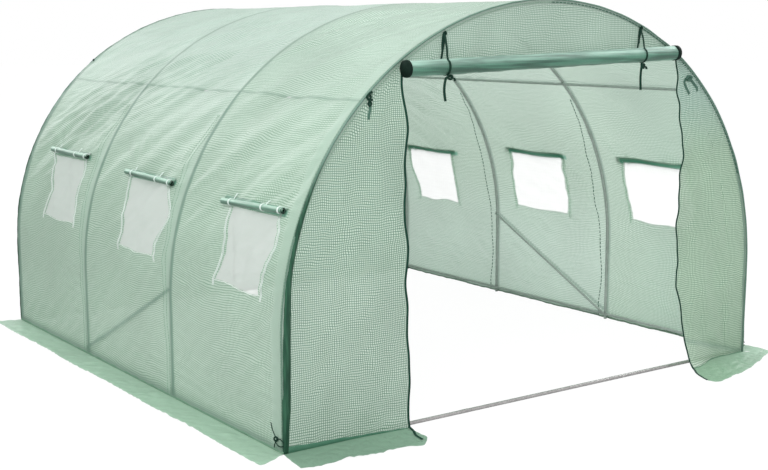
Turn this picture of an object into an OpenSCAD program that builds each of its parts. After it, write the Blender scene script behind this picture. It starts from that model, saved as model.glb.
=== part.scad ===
// Walk-in polytunnel greenhouse: four steel hoops in three bays, tied by rails
// and braces, under a sewn sheet cover with six roll-up windows and a roll-up
// door in the front end. X is across, Y runs from the front end to the back,
// and Z is up from the ground. All lengths are in millimetres.

/* [Tunnel] */
// Width between the centrelines of a hoop's two legs
tunnel_width = 3000; // [2700:10:3400]
// Height of a hoop's centreline at the ridge
ridge_height = 1930; // [1750:10:2150]
// Height of the straight leg below the first bend
leg_height = 500; // [420:10:560]
// Angle swept by each shoulder bend before the crown bend starts
shoulder_angle = 58; // [48:1:66]
// Distance between the centrelines of neighbouring hoops
bay_length = 1050; // [900:10:1260]

/* [Tubes] */
// Outside diameter of the hoop tubes
hoop_tube_d = 19; // [16:0.5:25]
// Outside diameter of the rails that run from hoop to hoop
rail_tube_d = 16; // [12:0.5:19]
// Outside diameter of the diagonal braces
brace_tube_d = 13; // [10:0.5:16]
// Outside diameter of the bars that lie across the two ends
end_bar_d = 18; // [14:0.5:19]
// How much wider a sleeve is than the tube it joins
sleeve_step = 2; // [1:0.5:3]
// Length of a sleeve joint
sleeve_length = 46; // [30:1:60]
// Thickness of a flattened tube end
tab_t = 3; // [2:0.5:4]
// Length of a flattened tube end, from the hoop to the round tube
tab_length = 34; // [26:1:44]
// Height of the side rails' centreline above the ground
rail_height = 34; // [30:1:45]
// Height at which a brace is bolted to its upper hoop
brace_top_height = 550; // [450:10:650]
// Height of the shoulder rails, as an angle up the shoulder bend
rail_angle = 45; // [38:1:47]

/* [Cover] */
// Thickness of the cover and the end panels
cover_t = 3; // [2:0.5:4]
// Reach of the ground flap beside the tunnel
side_flap_reach = 155; // [120:5:220]
// Reach of the ground flap in front of and behind the tunnel
end_flap_reach = 235; // [150:5:260]
// How far a flap's free edge is cut back at its ends
flap_mitre = 40; // [20:5:80]

/* [Door] */
// Width of the doorway
door_width = 1780; // [1500:10:1900]
// Distance from the ridge down to the doorway's top edge
door_head_drop = 275; // [240:5:420]
// Width of the zip tape beside the doorway
zip_width = 14; // [8:1:25]
// Thickness of the zip tape
zip_t = 2; // [1:0.5:4]
// Diameter of the rolled-up door
door_roll_d = 78; // [60:2:100]
// How far the roll reaches past each side of the doorway
door_roll_overhang = 0; // [0:5:40]
// Height of the roll's middle above the doorway's top edge
door_roll_rise = 7; // [0:1:30]
// Tilt of the roll, with its right-hand end higher
door_roll_tilt = 2; // [0:0.5:3]
// Distance of each door tie from the tunnel's middle
door_tie_offset = 630; // [450:10:700]
// Width of the tape of a door tie
door_tie_w = 12; // [8:1:18]
// Thickness of the tape of a door tie
door_tie_t = 2; // [1.6:0.2:4]
// Length of a door tie's hanging tail
door_tie_tail = 120; // [80:5:160]
// Diameter of a door tie's knot
door_tie_knot_d = 16; // [12:1:22]

/* [Windows] */
// Width of a window along the tunnel
window_width = 460; // [380:10:520]
// Height of a window's lower edge, as an angle up the shoulder bend
window_low_angle = 6; // [4:0.5:8]
// Height of a window, measured up along the curved cover
window_rise = 400; // [300:10:440]
// Shift of the windows from their bay's middle, to the front on the left side and to the back on the right
window_shift = 80; // [0:5:110]
// Thickness of the insect screen
screen_t = 1; // [0.6:0.1:1.5]
// Diameter of a rolled-up window flap
window_roll_d = 29; // [22:1:36]
// How far a flap's roll reaches past each side of its window
window_roll_overhang = 40; // [20:5:60]
// Thickness of the tape that ties a flap's roll
window_tie_t = 1.6; // [1:0.2:2.4]
// Width of the tape that ties a flap's roll
window_tie_w = 9; // [6:1:14]
// Distance of each window tie from the roll's end
window_tie_inset = 95; // [70:5:130]

/* [Hidden] */

// Running gap between pieces that rest on each other
seat_gap = 0.3;
// Overrun of every cut past the face it opens
cut_over = 20;
// Facets of a full turn
$fn = 96;

steel = [0.70, 0.73, 0.72];
sheet_green = [0.62, 0.80, 0.71];
flap_green = [0.55, 0.75, 0.62];
dark_green = [0.10, 0.25, 0.18];
screen_white = [0.90, 0.91, 0.90];
tape_white = [0.93, 0.95, 0.94];

bay_count = 3;
tunnel_length = bay_count * bay_length;
door_height = ridge_height - door_head_drop;
door_roll_height = door_height + door_roll_rise;
half_width = tunnel_width / 2;
half_length = tunnel_length / 2;
hoop_r = hoop_tube_d / 2;

// The hoop is a straight leg, a shoulder bend and a crown bend, each tangent to the next
crown_share = (1 - sin(shoulder_angle)) / cos(shoulder_angle);
shoulder_radius = (ridge_height - leg_height - half_width * crown_share) / (1 - crown_share);
shoulder_x = half_width - shoulder_radius;
crown_radius = shoulder_radius + shoulder_x / cos(shoulder_angle);
crown_z = leg_height - shoulder_x * tan(shoulder_angle);

// The cover's inner face clears the hoops' sleeves
cover_in = (hoop_tube_d + sleeve_step) / 2 + seat_gap;
cover_out = cover_in + cover_t;
end_in = half_length + cover_in;
end_out = half_length + cover_out;

// Centreline of a flattened end bolted straight to a hoop, and of one bolted over it
tab_first = hoop_r + seat_gap + tab_t / 2;
tab_second = tab_first + tab_t;
tab_third = tab_second + tab_t;
// A flattened tube widens to half its circumference, and is trimmed to the hoop's width
flat_width_share = PI / 2;
// Width of a tube's neck, where its flattened end starts, as a share of the tube
neck_share = 0.95;

// Ratio of a polygon wedge's reach to the circle that it cuts
wedge_reach_share = 2;

function hoop_y(index) = index * bay_length - half_length;
function bay_y(index) = hoop_y(index) + bay_length / 2;
// Depth, towards the tunnel's middle, of a hoop's centreline at a height above the leg
function hoop_lean(height) = height <= leg_height ? 0
    : shoulder_radius * (1 - cos(asin((height - leg_height) / shoulder_radius)));

// Area inside a hoop's centreline, grown by offset_by, in the X-Z plane
module tunnel_area(offset_by) {
    reach = wedge_reach_share * (shoulder_radius + crown_radius);
    translate([-half_width - offset_by, 0])
        square([tunnel_width + 2 * offset_by, leg_height]);
    for (side = [0, 1]) mirror([side, 0])
        translate([shoulder_x, leg_height]) intersection() {
            circle(r = shoulder_radius + offset_by);
            polygon([[0, 0], [reach, 0], [reach, reach * sin(shoulder_angle)],
                [reach * cos(shoulder_angle), reach * sin(shoulder_angle)]]);
        }
    translate([0, crown_z]) intersection() {
        circle(r = crown_radius + offset_by);
        polygon([[0, 0], [reach * cos(shoulder_angle), reach * sin(shoulder_angle)],
            [-reach * cos(shoulder_angle), reach * sin(shoulder_angle)]]);
    }
}

// Stands a profile drawn in the X-Z plane upright, from y_low towards the back
module upright(y_low, depth) {
    translate([0, y_low + depth, 0]) rotate([90, 0, 0]) linear_extrude(depth) children();
}

// Turns a child drawn at an angle of 0 on the right shoulder bend up to angle
module on_shoulder(angle) {
    translate([shoulder_x, 0, leg_height]) rotate([0, -angle, 0]) children();
}

// Sweeps a 2D child, drawn as X outwards from the bend's axis and Y along the tunnel, round an arc
module bend(center_x, center_z, from_angle, sweep) {
    translate([center_x, 0, center_z]) rotate([0, -from_angle, 0]) rotate([90, 0, 0])
        rotate_extrude(angle = sweep) children();
}

module tube_arc(center_x, center_z, radius, from_angle, sweep, d) {
    bend(center_x, center_z, from_angle, sweep) translate([radius, 0]) circle(d = d, $fn = 32);
}

// One side of a hoop: the leg and the shoulder bend, with sleeves at its joints
module hoop_side() {
    sleeve_d = hoop_tube_d + sleeve_step;
    sleeve_sweep = sleeve_length / shoulder_radius * 180 / PI;
    translate([half_width, 0, 0]) cylinder(d = hoop_tube_d, h = leg_height, $fn = 32);
    translate([half_width, 0, leg_height - sleeve_length])
        cylinder(d = sleeve_d, h = sleeve_length, $fn = 32);
    tube_arc(shoulder_x, leg_height, shoulder_radius, 0, shoulder_angle, hoop_tube_d);
    tube_arc(shoulder_x, leg_height, shoulder_radius,
        (shoulder_angle - sleeve_sweep) / 2, sleeve_sweep, sleeve_d);
    tube_arc(shoulder_x, leg_height, shoulder_radius,
        shoulder_angle - sleeve_sweep, sleeve_sweep, sleeve_d);
}

module hoop_sides(index) {
    color(steel) translate([0, hoop_y(index), 0])
        for (side = [0, 1]) mirror([side, 0, 0]) hoop_side();
}

module hoop_crown(index) {
    color(steel) translate([0, hoop_y(index), 0])
        tube_arc(0, crown_z, crown_radius, shoulder_angle, 180 - 2 * shoulder_angle, hoop_tube_d);
}

// A tube with flattened, bolted ends. X runs from the first hoop to the next, Y is the depth
// inwards from the hoops' centreline, and Z is across. depth_a and depth_b are the ends' depths.
module flat_ended_tube(length, d, depth_a, depth_b) {
    depth = (depth_a + depth_b) / 2;
    flat_w = min(d * flat_width_share, hoop_tube_d);
    round_start = hoop_r + tab_length;
    translate([round_start, depth, 0]) rotate([0, 90, 0])
        cylinder(d = d, h = length - 2 * round_start, $fn = 24);
    for (end = [[0, 1, depth_a], [length, -1, depth_b]]) translate([end[0], end[2], 0]) {
        rotate([90, 0, 0]) translate([0, 0, -tab_t / 2]) cylinder(d = flat_w, h = tab_t, $fn = 24);
        translate([min(0, end[1] * hoop_r), -tab_t / 2, -flat_w / 2])
            cube([hoop_r, tab_t, flat_w]);
        hull() {
            translate([end[1] * hoop_r - tab_t / 2, -tab_t / 2, -flat_w / 2])
                cube([tab_t, tab_t, flat_w]);
            translate([end[1] * (round_start + tab_t), depth - end[2], 0]) rotate([0, 90, 0])
                cylinder(d = d * neck_share, h = tab_t, center = true, $fn = 24);
        }
    }
}

// A line of rails, one to each bay, drawn on the right-hand leg. Each rail's back end is bolted
// over the next rail's front end.
module rail_line() {
    for (bay = [0 : bay_count - 1]) {
        depth_b = bay < bay_count - 1 ? tab_second : tab_first;
        translate([0, hoop_y(bay), 0]) rotate([0, 0, 90])
            flat_ended_tube(bay_length, rail_tube_d, tab_first, depth_b);
    }
}

module base_rail(side) {
    color(steel) mirror([side, 0, 0]) translate([half_width, 0, rail_height]) rail_line();
}

module shoulder_rail(side) {
    color(steel) mirror([side, 0, 0])
        on_shoulder(rail_angle) translate([shoulder_radius, 0, 0]) rail_line();
}

module ridge_rail() {
    color(steel) translate([0, 0, crown_z]) rotate([0, -90, 0])
        translate([crown_radius, 0, 0]) rail_line();
}

// The brace of the middle bay, drawn on the right, where it rises towards the back
module brace(side) {
    run = bay_length;
    rise = brace_top_height - rail_height;
    lean = hoop_lean(brace_top_height + brace_tube_d);
    color(steel) rotate([0, 0, side * 180]) translate([half_width, hoop_y(1), rail_height])
        rotate([atan2(rise, run), 0, 0]) rotate([0, 0, 90])
            flat_ended_tube(norm([run, rise]), brace_tube_d, tab_third, tab_first + lean);
}

// The bar on the ground between a hoop's legs, in three lengths with sleeves between them
module end_bar(end) {
    flat_w = end_bar_d;
    bar_z = end_bar_d / 2 + seat_gap;
    span = tunnel_width;
    joint_x = span / 6;
    round_start = hoop_r + tab_length;
    color(steel) rotate([0, 0, end * 180]) translate([0, -half_length + tab_first, bar_z]) {
        translate([round_start - half_width, 0, 0]) rotate([0, 90, 0])
            cylinder(d = end_bar_d, h = span - 2 * round_start, $fn = 32);
        for (side = [-1, 1]) {
            translate([side * joint_x - sleeve_length / 2, 0, seat_gap]) rotate([0, 90, 0])
                cylinder(d = end_bar_d + sleeve_step / 2, h = sleeve_length, $fn = 32);
            hull() {
                translate([side * (half_width - round_start - tab_t), 0, 0]) rotate([0, 90, 0])
                    cylinder(d = end_bar_d * neck_share, h = tab_t, center = true, $fn = 24);
                translate([side * (half_width - hoop_r) - tab_t / 2, -tab_t / 2, -flat_w / 2])
                    cube([tab_t, tab_t, flat_w]);
            }
            translate([side * half_width - hoop_r, -tab_t / 2, -flat_w / 2])
                cube([2 * hoop_r, tab_t, flat_w]);
        }
    }
}

// Ends along the tunnel of one bay's cover. The outer bays reach round the end panels.
function cover_from(bay) = bay == 0 ? -end_out : hoop_y(bay);
function cover_to(bay) = bay == bay_count - 1 ? end_out : hoop_y(bay + 1);

window_sweep = window_rise / (shoulder_radius + cover_in) * 180 / PI;
window_top_angle = window_low_angle + window_sweep;

// Middle of a bay's window along the tunnel. side is 0 on the right and 1 on the left.
function window_y(side, bay) = bay_y(bay) + (side == 0 ? window_shift : -window_shift);

// The curved opening of one window, or a sheet that fills it
module window_sheet(side, bay, inner, depth, grow_w) {
    bend(shoulder_x, leg_height, window_low_angle, window_sweep)
        translate([shoulder_radius + inner, -window_y(side, bay) - window_width / 2 - grow_w])
            square([depth, window_width + 2 * grow_w]);
}

// The sheet over one bay's leg and shoulder, up to the shoulder rail, with its window cut out
module cover_side(side, bay) {
    y_low = cover_from(bay);
    width = cover_to(bay) - y_low;
    color(sheet_green) mirror([side, 0, 0]) difference() {
        union() {
            translate([half_width + cover_in, y_low, cover_t])
                cube([cover_t, width, leg_height - cover_t]);
            bend(shoulder_x, leg_height, 0, rail_angle)
                translate([shoulder_radius + cover_in, -y_low - width]) square([cover_t, width]);
        }
        window_sheet(side, bay, cover_in - cut_over, cover_t + 2 * cut_over, 0);
    }
}

// The sheet over one bay's crown, between the shoulder rails
module cover_roof(bay) {
    y_low = cover_from(bay);
    reach = wedge_reach_share * shoulder_radius;
    seam_x = shoulder_x + reach * cos(rail_angle);
    color(sheet_green) upright(y_low, cover_to(bay) - y_low) difference() {
        tunnel_area(cover_out);
        tunnel_area(cover_in);
        for (side = [0, 1]) mirror([side, 0])
            polygon([[0, -cut_over], [shoulder_x, leg_height],
                [seam_x, leg_height + reach * sin(rail_angle)], [seam_x, -cut_over]]);
    }
}

// A flat end sheet between two distances across the tunnel, down to low_z
module end_sheet(y_low, x_low, x_high, low_z) {
    color(sheet_green) upright(y_low, cover_t) intersection() {
        tunnel_area(cover_in);
        translate([x_low, low_z]) square([x_high - x_low, ridge_height + cut_over - low_z]);
    }
}

module front_panel_side(side) {
    mirror([side, 0, 0]) end_sheet(-end_out, door_width / 2, half_width + cover_in, cover_t);
}

module front_panel_top() {
    end_sheet(-end_out, -door_width / 2, door_width / 2, door_height);
}

module back_panel() {
    end_sheet(end_in, -half_width - cover_in, half_width + cover_in, cover_t);
}

// The flap that lies on the ground beside the tunnel
module ground_flap_side(side) {
    inner = half_width + cover_in;
    outer = inner + cover_t + side_flap_reach;
    color(flap_green) mirror([side, 0, 0]) linear_extrude(cover_t)
        polygon([[inner, -end_out], [outer, flap_mitre - end_out],
            [outer, end_out - flap_mitre], [inner, end_out]]);
}

// The flap that lies on the ground at an end, between two distances across the tunnel
module ground_flap_end(x_low, x_high) {
    outer = end_out + end_flap_reach;
    color(flap_green) linear_extrude(cover_t)
        polygon([[x_low, -end_in], [x_low + flap_mitre, -outer],
            [x_high - flap_mitre, -outer], [x_high, -end_in]]);
}

module ground_flap_front(side) {
    mirror([side, 0, 0]) ground_flap_end(door_width / 2, half_width + cover_in);
}

module ground_flap_back() {
    rotate([0, 0, 180]) ground_flap_end(-half_width - cover_in, half_width + cover_in);
}

// Axis of the rolled-up door, hung in front of the top panel with room for the ties behind it
door_roll_y = -end_out - door_tie_t - 2 * seat_gap - door_roll_d / 2;
function roll_z(x) = door_roll_height + x * tan(door_roll_tilt);

module door_roll() {
    length = door_width + 2 * door_roll_overhang;
    color(sheet_green) translate([0, door_roll_y, door_roll_height])
        rotate([0, 90 - door_roll_tilt, 0])
            cylinder(d = door_roll_d, h = length, center = true);
}

// One door tie: a loop of tape from the top of the end panel round the roll, knotted below it
module door_tie(x) {
    inner_r = door_roll_d / 2 + seat_gap;
    outer_r = inner_r + door_tie_t;
    inset = -end_out - seat_gap - door_tie_t - door_roll_y;
    rise = crown_z + sqrt(pow(crown_radius, 2) - pow(x, 2)) - roll_z(x);
    lean = atan2(rise, inset);
    half_gap = acos(inner_r / norm([inset, rise]));
    strand_t = door_tie_t / 2;
    // The two strands cross where they are sewn on
    strand = sqrt(pow(norm([inset, rise]), 2) - pow(inner_r, 2)) + 2 * door_tie_t;
    knot_drop = inner_r + (door_tie_t + door_tie_knot_d) / 2;
    translate([x, door_roll_y, roll_z(x)]) rotate([90, 0, 90]) {
        linear_extrude(door_tie_w, center = true) {
            difference() {
                circle(r = outer_r);
                circle(r = inner_r);
            }
            rotate(lean + half_gap) translate([inner_r + strand_t / 2, -strand])
                square([strand_t, strand + strand_t]);
            rotate(lean - half_gap) translate([inner_r + strand_t / 2, -strand_t])
                square([strand_t, strand + strand_t]);
        }
        translate([0, -knot_drop, 0]) {
            cylinder(d = door_tie_knot_d, h = door_tie_knot_d, center = true, $fn = 24);
            translate([-door_tie_t / 2, -door_tie_tail, -door_tie_w / 2])
                cube([door_tie_t, door_tie_tail, door_tie_w]);
        }
    }
}

module door_ties() {
    color(dark_green) for (sign = [-1, 1]) door_tie(sign * door_tie_offset);
}

// The zip tapes down both sides of the doorway
module door_zips() {
    color(dark_green) for (side = [0, 1]) mirror([side, 0, 0])
        translate([door_width / 2, -end_out - zip_t, cover_t])
            cube([zip_width, zip_t, door_height - cover_t]);
}

module window_screens(side) {
    color(screen_white) mirror([side, 0, 0]) for (bay = [0 : bay_count - 1])
        window_sheet(side, bay, cover_in + (cover_t - screen_t) / 2, screen_t, 0);
}

// Axis of a flap's roll, measured outwards from the cover, with room for its tie
window_roll_out = shoulder_radius + cover_out + window_tie_t + 2 * seat_gap + window_roll_d / 2;
window_roll_length = window_width + 2 * window_roll_overhang;

// Places a child on each window roll's axis, with Z along the tunnel and X outwards
module at_window_rolls(side) {
    mirror([side, 0, 0]) for (bay = [0 : bay_count - 1])
        on_shoulder(window_top_angle) translate([window_roll_out, window_y(side, bay), 0])
            rotate([90, 0, 0]) children();
}

// The rolled flaps, each hanging by its lip from the seam above its window
module window_rolls(side) {
    seam_x = -window_roll_out + shoulder_radius + cover_out + seat_gap;
    color(sheet_green) at_window_rolls(side) {
        cylinder(d = window_roll_d, h = window_roll_length, center = true, $fn = 48);
        linear_extrude(window_roll_length, center = true)
            polygon([[0, window_roll_d / 2], [0, window_roll_d / 2 - cover_t],
                [seam_x, window_roll_d], [seam_x, window_roll_d + cover_t]]);
    }
}

module window_ties(side) {
    inner_r = window_roll_d / 2 + seat_gap;
    tie_z = window_roll_length / 2 - window_tie_inset;
    lip_cut = window_roll_d;
    color(tape_white) at_window_rolls(side) for (sign = [-1, 1])
        translate([0, 0, sign * tie_z - window_tie_w / 2]) difference() {
            cylinder(r = inner_r + window_tie_t, h = window_tie_w, $fn = 48);
            translate([0, 0, -cut_over]) cylinder(r = inner_r, h = window_tie_w + 2 * cut_over, $fn = 48);
            rotate([0, 0, 90]) translate([0, 0, -cut_over])
                cube([lip_cut, lip_cut, window_tie_w + 2 * cut_over]);
        }
}

hoop_sides(0);  // hoop_front_sides
hoop_crown(0);  // hoop_front_crown
hoop_sides(1);  // hoop_second_sides
hoop_crown(1);  // hoop_second_crown
hoop_sides(2);  // hoop_third_sides
hoop_crown(2);  // hoop_third_crown
hoop_sides(3);  // hoop_back_sides
hoop_crown(3);  // hoop_back_crown
base_rail(1);  // base_rail_left
base_rail(0);  // base_rail_right
shoulder_rail(1);  // shoulder_rail_left
shoulder_rail(0);  // shoulder_rail_right
ridge_rail();
end_bar(0);  // end_bar_front
end_bar(1);  // end_bar_back
brace(1);  // brace_left
brace(0);  // brace_right
cover_side(1, 0);  // cover_left_front
cover_side(1, 1);  // cover_left_middle
cover_side(1, 2);  // cover_left_back
cover_roof(0);  // cover_roof_front
cover_roof(1);  // cover_roof_middle
cover_roof(2);  // cover_roof_back
cover_side(0, 0);  // cover_right_front
cover_side(0, 1);  // cover_right_middle
cover_side(0, 2);  // cover_right_back
front_panel_side(1);  // front_panel_left
front_panel_side(0);  // front_panel_right
front_panel_top();
back_panel();
ground_flap_side(1);  // ground_flap_left
ground_flap_side(0);  // ground_flap_right
ground_flap_front(1);  // ground_flap_front_left
ground_flap_front(0);  // ground_flap_front_right
ground_flap_back();
door_roll();
door_ties();
door_zips();
window_screens(1);  // window_screens_left
window_screens(0);  // window_screens_right
window_rolls(1);  // window_rolls_left
window_rolls(0);  // window_rolls_right
window_ties(1);  // window_ties_left
window_ties(0);  // window_ties_right
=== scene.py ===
"""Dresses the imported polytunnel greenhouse.

The CAD frame gives the galvanised tubes. This script adds the translucent mesh cover, its
screened windows, the rolled-up door, the flaps on the ground and the sewn and bolted details.
Lengths are in metres. X is across, Y runs from the door end to the back, and Z is up.
"""

import logging
import math
from collections.abc import Sequence
from dataclasses import dataclass, field, replace
from enum import Enum

import bpy
import numpy as np
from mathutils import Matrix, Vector


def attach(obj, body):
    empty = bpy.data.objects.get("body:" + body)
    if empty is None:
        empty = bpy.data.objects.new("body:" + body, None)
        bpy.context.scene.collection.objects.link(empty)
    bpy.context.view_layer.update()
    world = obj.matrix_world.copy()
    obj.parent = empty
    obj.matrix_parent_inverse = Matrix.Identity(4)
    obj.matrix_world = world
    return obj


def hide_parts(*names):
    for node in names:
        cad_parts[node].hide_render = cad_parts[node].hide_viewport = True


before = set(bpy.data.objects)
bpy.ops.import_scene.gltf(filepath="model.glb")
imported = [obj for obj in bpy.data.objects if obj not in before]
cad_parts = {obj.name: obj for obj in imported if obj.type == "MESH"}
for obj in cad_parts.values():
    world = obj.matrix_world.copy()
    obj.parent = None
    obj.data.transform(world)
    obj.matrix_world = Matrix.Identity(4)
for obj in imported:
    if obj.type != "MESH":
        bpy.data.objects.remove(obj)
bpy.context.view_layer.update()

log = logging.getLogger("polytunnel")
Array = np.ndarray
Colour = tuple[float, float, float]


class Side(Enum):
    """A side of the tunnel, as seen from the door end."""

    LEFT = -1
    RIGHT = 1


# The arch and the places of the hoops along the tunnel


@dataclass(frozen=True)
class HoopLine:
    """The arch that a hoop's centreline follows: a leg, a shoulder bend and a crown bend."""

    half_width: float = 1.5
    leg_height: float = 0.5
    ridge_height: float = 1.93
    shoulder_angle: float = math.radians(58.0)
    film_offset: float = 0.0123

    @property
    def shoulder_radius(self) -> float:
        """Radius of the shoulder bend."""
        share = (1 - math.sin(self.shoulder_angle)) / math.cos(self.shoulder_angle)
        return (self.ridge_height - self.leg_height - self.half_width * share) / (1 - share)

    @property
    def shoulder_x(self) -> float:
        """Distance of the shoulder bend's axis from the middle."""
        return self.half_width - self.shoulder_radius

    @property
    def crown_radius(self) -> float:
        """Radius of the crown bend."""
        return self.shoulder_radius + self.shoulder_x / math.cos(self.shoulder_angle)

    @property
    def crown_z(self) -> float:
        """Height of the crown bend's axis."""
        return self.leg_height - self.shoulder_x * math.tan(self.shoulder_angle)

    @property
    def lengths(self) -> tuple[float, float]:
        """Lengths along the film from the ridge to the shoulder bend, and on to the leg."""
        crown = (self.crown_radius + self.film_offset) * (math.pi / 2 - self.shoulder_angle)
        return crown, crown + (self.shoulder_radius + self.film_offset) * self.shoulder_angle

    @property
    def reach(self) -> float:
        """Length along the film from the ground to the ridge."""
        return self.lengths[1] + self.leg_height

    def at(self, climb: Array, side: int) -> tuple[Array, Array, Array, Array]:
        """Finds points of the film and its outward direction.

        Args:
            climb: Lengths along the film up from the ground.
            side: -1 for the left side and 1 for the right.

        Returns:
            The points' x and z, and the outward direction's x and z.
        """
        down = self.reach - climb
        crown_end, shoulder_end = self.lengths
        crown_r = self.crown_radius + self.film_offset
        shoulder_r = self.shoulder_radius + self.film_offset
        on_crown, on_leg = down <= crown_end, down > shoulder_end
        phi = np.where(on_crown, math.pi / 2 - down / crown_r,
                       self.shoulder_angle - (down - crown_end) / shoulder_r)
        phi = np.where(on_leg, 0.0, phi)
        radius = np.where(on_crown, crown_r, shoulder_r)
        x = np.where(on_crown, 0.0, self.shoulder_x) + radius * np.cos(phi)
        z = np.where(on_crown, self.crown_z, self.leg_height) + radius * np.sin(phi)
        z = z - np.where(on_leg, down - shoulder_end, 0.0)
        return side * x, z, side * np.cos(phi), np.sin(phi)

    def climb_to(self, z: float) -> float:
        """Length along the film from the ground to a height on the leg or shoulder bend."""
        if z <= self.leg_height:
            return z
        radius = self.shoulder_radius + self.film_offset
        return self.leg_height + radius * math.asin((z - self.leg_height) / radius)

    def height_over(self, x: Array) -> Array:
        """Height of the film over a distance from the middle, on the bends."""
        crown_r = self.crown_radius + self.film_offset
        shoulder_r = self.shoulder_radius + self.film_offset
        away = np.abs(x)
        crown = self.crown_z + np.sqrt(np.maximum(crown_r**2 - away**2, 0.0))
        shoulder = self.leg_height + np.sqrt(np.maximum(shoulder_r**2 - (away - self.shoulder_x) ** 2, 0.0))
        return np.where(away < crown_r * math.cos(self.shoulder_angle), crown, shoulder)

    def reach_at(self, z: Array) -> Array:
        """Distance of the film from the middle at a height below the ridge."""
        crown_r = self.crown_radius + self.film_offset
        shoulder_r = self.shoulder_radius + self.film_offset
        crown = np.sqrt(np.maximum(crown_r**2 - (z - self.crown_z) ** 2, 0.0))
        shoulder = self.shoulder_x + np.sqrt(
            np.maximum(shoulder_r**2 - (np.maximum(z, self.leg_height) - self.leg_height) ** 2, 0.0))
        return np.where(z > self.crown_z + crown_r * math.sin(self.shoulder_angle), crown, shoulder)


ARCH = HoopLine()
HOOPS = (-1.575, -0.525, 0.525, 1.575)
BAY = HOOPS[1] - HOOPS[0]
FRONT, BACK = HOOPS[0] - ARCH.film_offset, HOOPS[-1] + ARCH.film_offset
RAIL_CLIMB = ARCH.leg_height + (ARCH.shoulder_radius + ARCH.film_offset) * math.radians(45.0)


def smooth(value: Array, low: float, high: float) -> Array:
    """Rises smoothly from 0 at low to 1 at high."""
    t = np.clip((value - low) / (high - low), 0.0, 1.0)
    return t * t * (3 - 2 * t)


@dataclass(frozen=True)
class Ripples:
    """A repeatable field of soft folds, as a sum of plane waves with unit spread."""

    seed: int
    waves: int
    shortest: float
    longest: float
    heading: float = 0.0
    stray: float = math.pi

    def at(self, u: Array, v: Array) -> Array:
        """Gives the field's value at each point of two coordinate arrays."""
        draw = np.random.default_rng(self.seed)
        total = np.zeros(np.broadcast(u, v).shape)
        for _ in range(self.waves):
            wavelength = self.shortest * (self.longest / self.shortest) ** draw.random()
            turn = self.heading + self.stray * (2 * draw.random() - 1)
            phase = draw.random() * 2 * math.pi
            total += np.sin(2 * math.pi / wavelength * (u * math.cos(turn) + v * math.sin(turn)) + phase)
        return total / math.sqrt(self.waves / 2)


# Meshes


def spaced(breaks: Sequence[float], step: float) -> Array:
    """Divides the stretches between some marks into equal steps.

    Args:
        breaks: Places that the result has to hold.
        step: The largest step.

    Returns:
        The places in rising order.
    """
    marks = sorted(set(breaks))
    parts = [np.linspace(a, b, max(1, math.ceil((b - a) / step)) + 1)[:-1] for a, b in zip(marks, marks[1:])]
    return np.concatenate([*parts, [marks[-1]]])


def mesh_object(name: str, points: Array, faces: Array, uv: Array | None = None,
                layers: dict[str, Array] | None = None) -> bpy.types.Object:
    """Makes a smooth-shaded mesh object at the origin.

    Args:
        name: The piece's name.
        points: Corner points, one row each.
        faces: Corner numbers of each four-sided face, one row each.
        uv: The cloth coordinates of each corner point, in metres.
        layers: Named values of each corner point.

    Returns:
        The object, linked to the scene.
    """
    used = np.unique(faces)
    place = np.full(len(points), -1)
    place[used] = np.arange(len(used))
    faces = place[faces]
    mesh = bpy.data.meshes.new(name)
    mesh.from_pydata(points[used].tolist(), [], faces.tolist())
    mesh.polygons.foreach_set("use_smooth", [True] * len(mesh.polygons))
    if uv is not None:
        corners = np.empty(len(mesh.loops), dtype=np.int64)
        mesh.loops.foreach_get("vertex_index", corners)
        mesh.uv_layers.new(name="cloth").data.foreach_set("uv", uv[used][corners].astype(np.float32).ravel())
    for label, values in (layers or {}).items():
        mesh.attributes.new(label, "FLOAT", "POINT").data.foreach_set("value", values[used].astype(np.float32))
    mesh.update()
    made = bpy.data.objects.new(name, mesh)
    bpy.context.scene.collection.objects.link(made)
    return made


def grid_object(name: str, points: Array, uv: Array, keep: Array | None = None, flip: bool = False,
                layers: dict[str, Array] | None = None) -> bpy.types.Object:
    """Makes a sheet from a grid of points.

    Args:
        name: The piece's name.
        points: Points by row, column and coordinate.
        uv: Cloth coordinates by row, column and coordinate, in metres.
        keep: Which cells of the grid are sheet. None keeps them all.
        flip: Whether to turn the faces over.
        layers: Named values by row and column.

    Returns:
        The object, linked to the scene.
    """
    rows, columns = points.shape[:2]
    number = np.arange(rows * columns).reshape(rows, columns)
    quads = np.stack([number[:-1, :-1], number[:-1, 1:], number[1:, 1:], number[1:, :-1]], axis=-1)
    quads = quads[keep] if keep is not None else quads.reshape(-1, 4)
    if flip:
        quads = quads[:, ::-1]
    flat = {label: values.ravel() for label, values in (layers or {}).items()}
    return mesh_object(name, points.reshape(-1, 3), quads.reshape(-1, 4), uv.reshape(-1, 2), flat)


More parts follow.
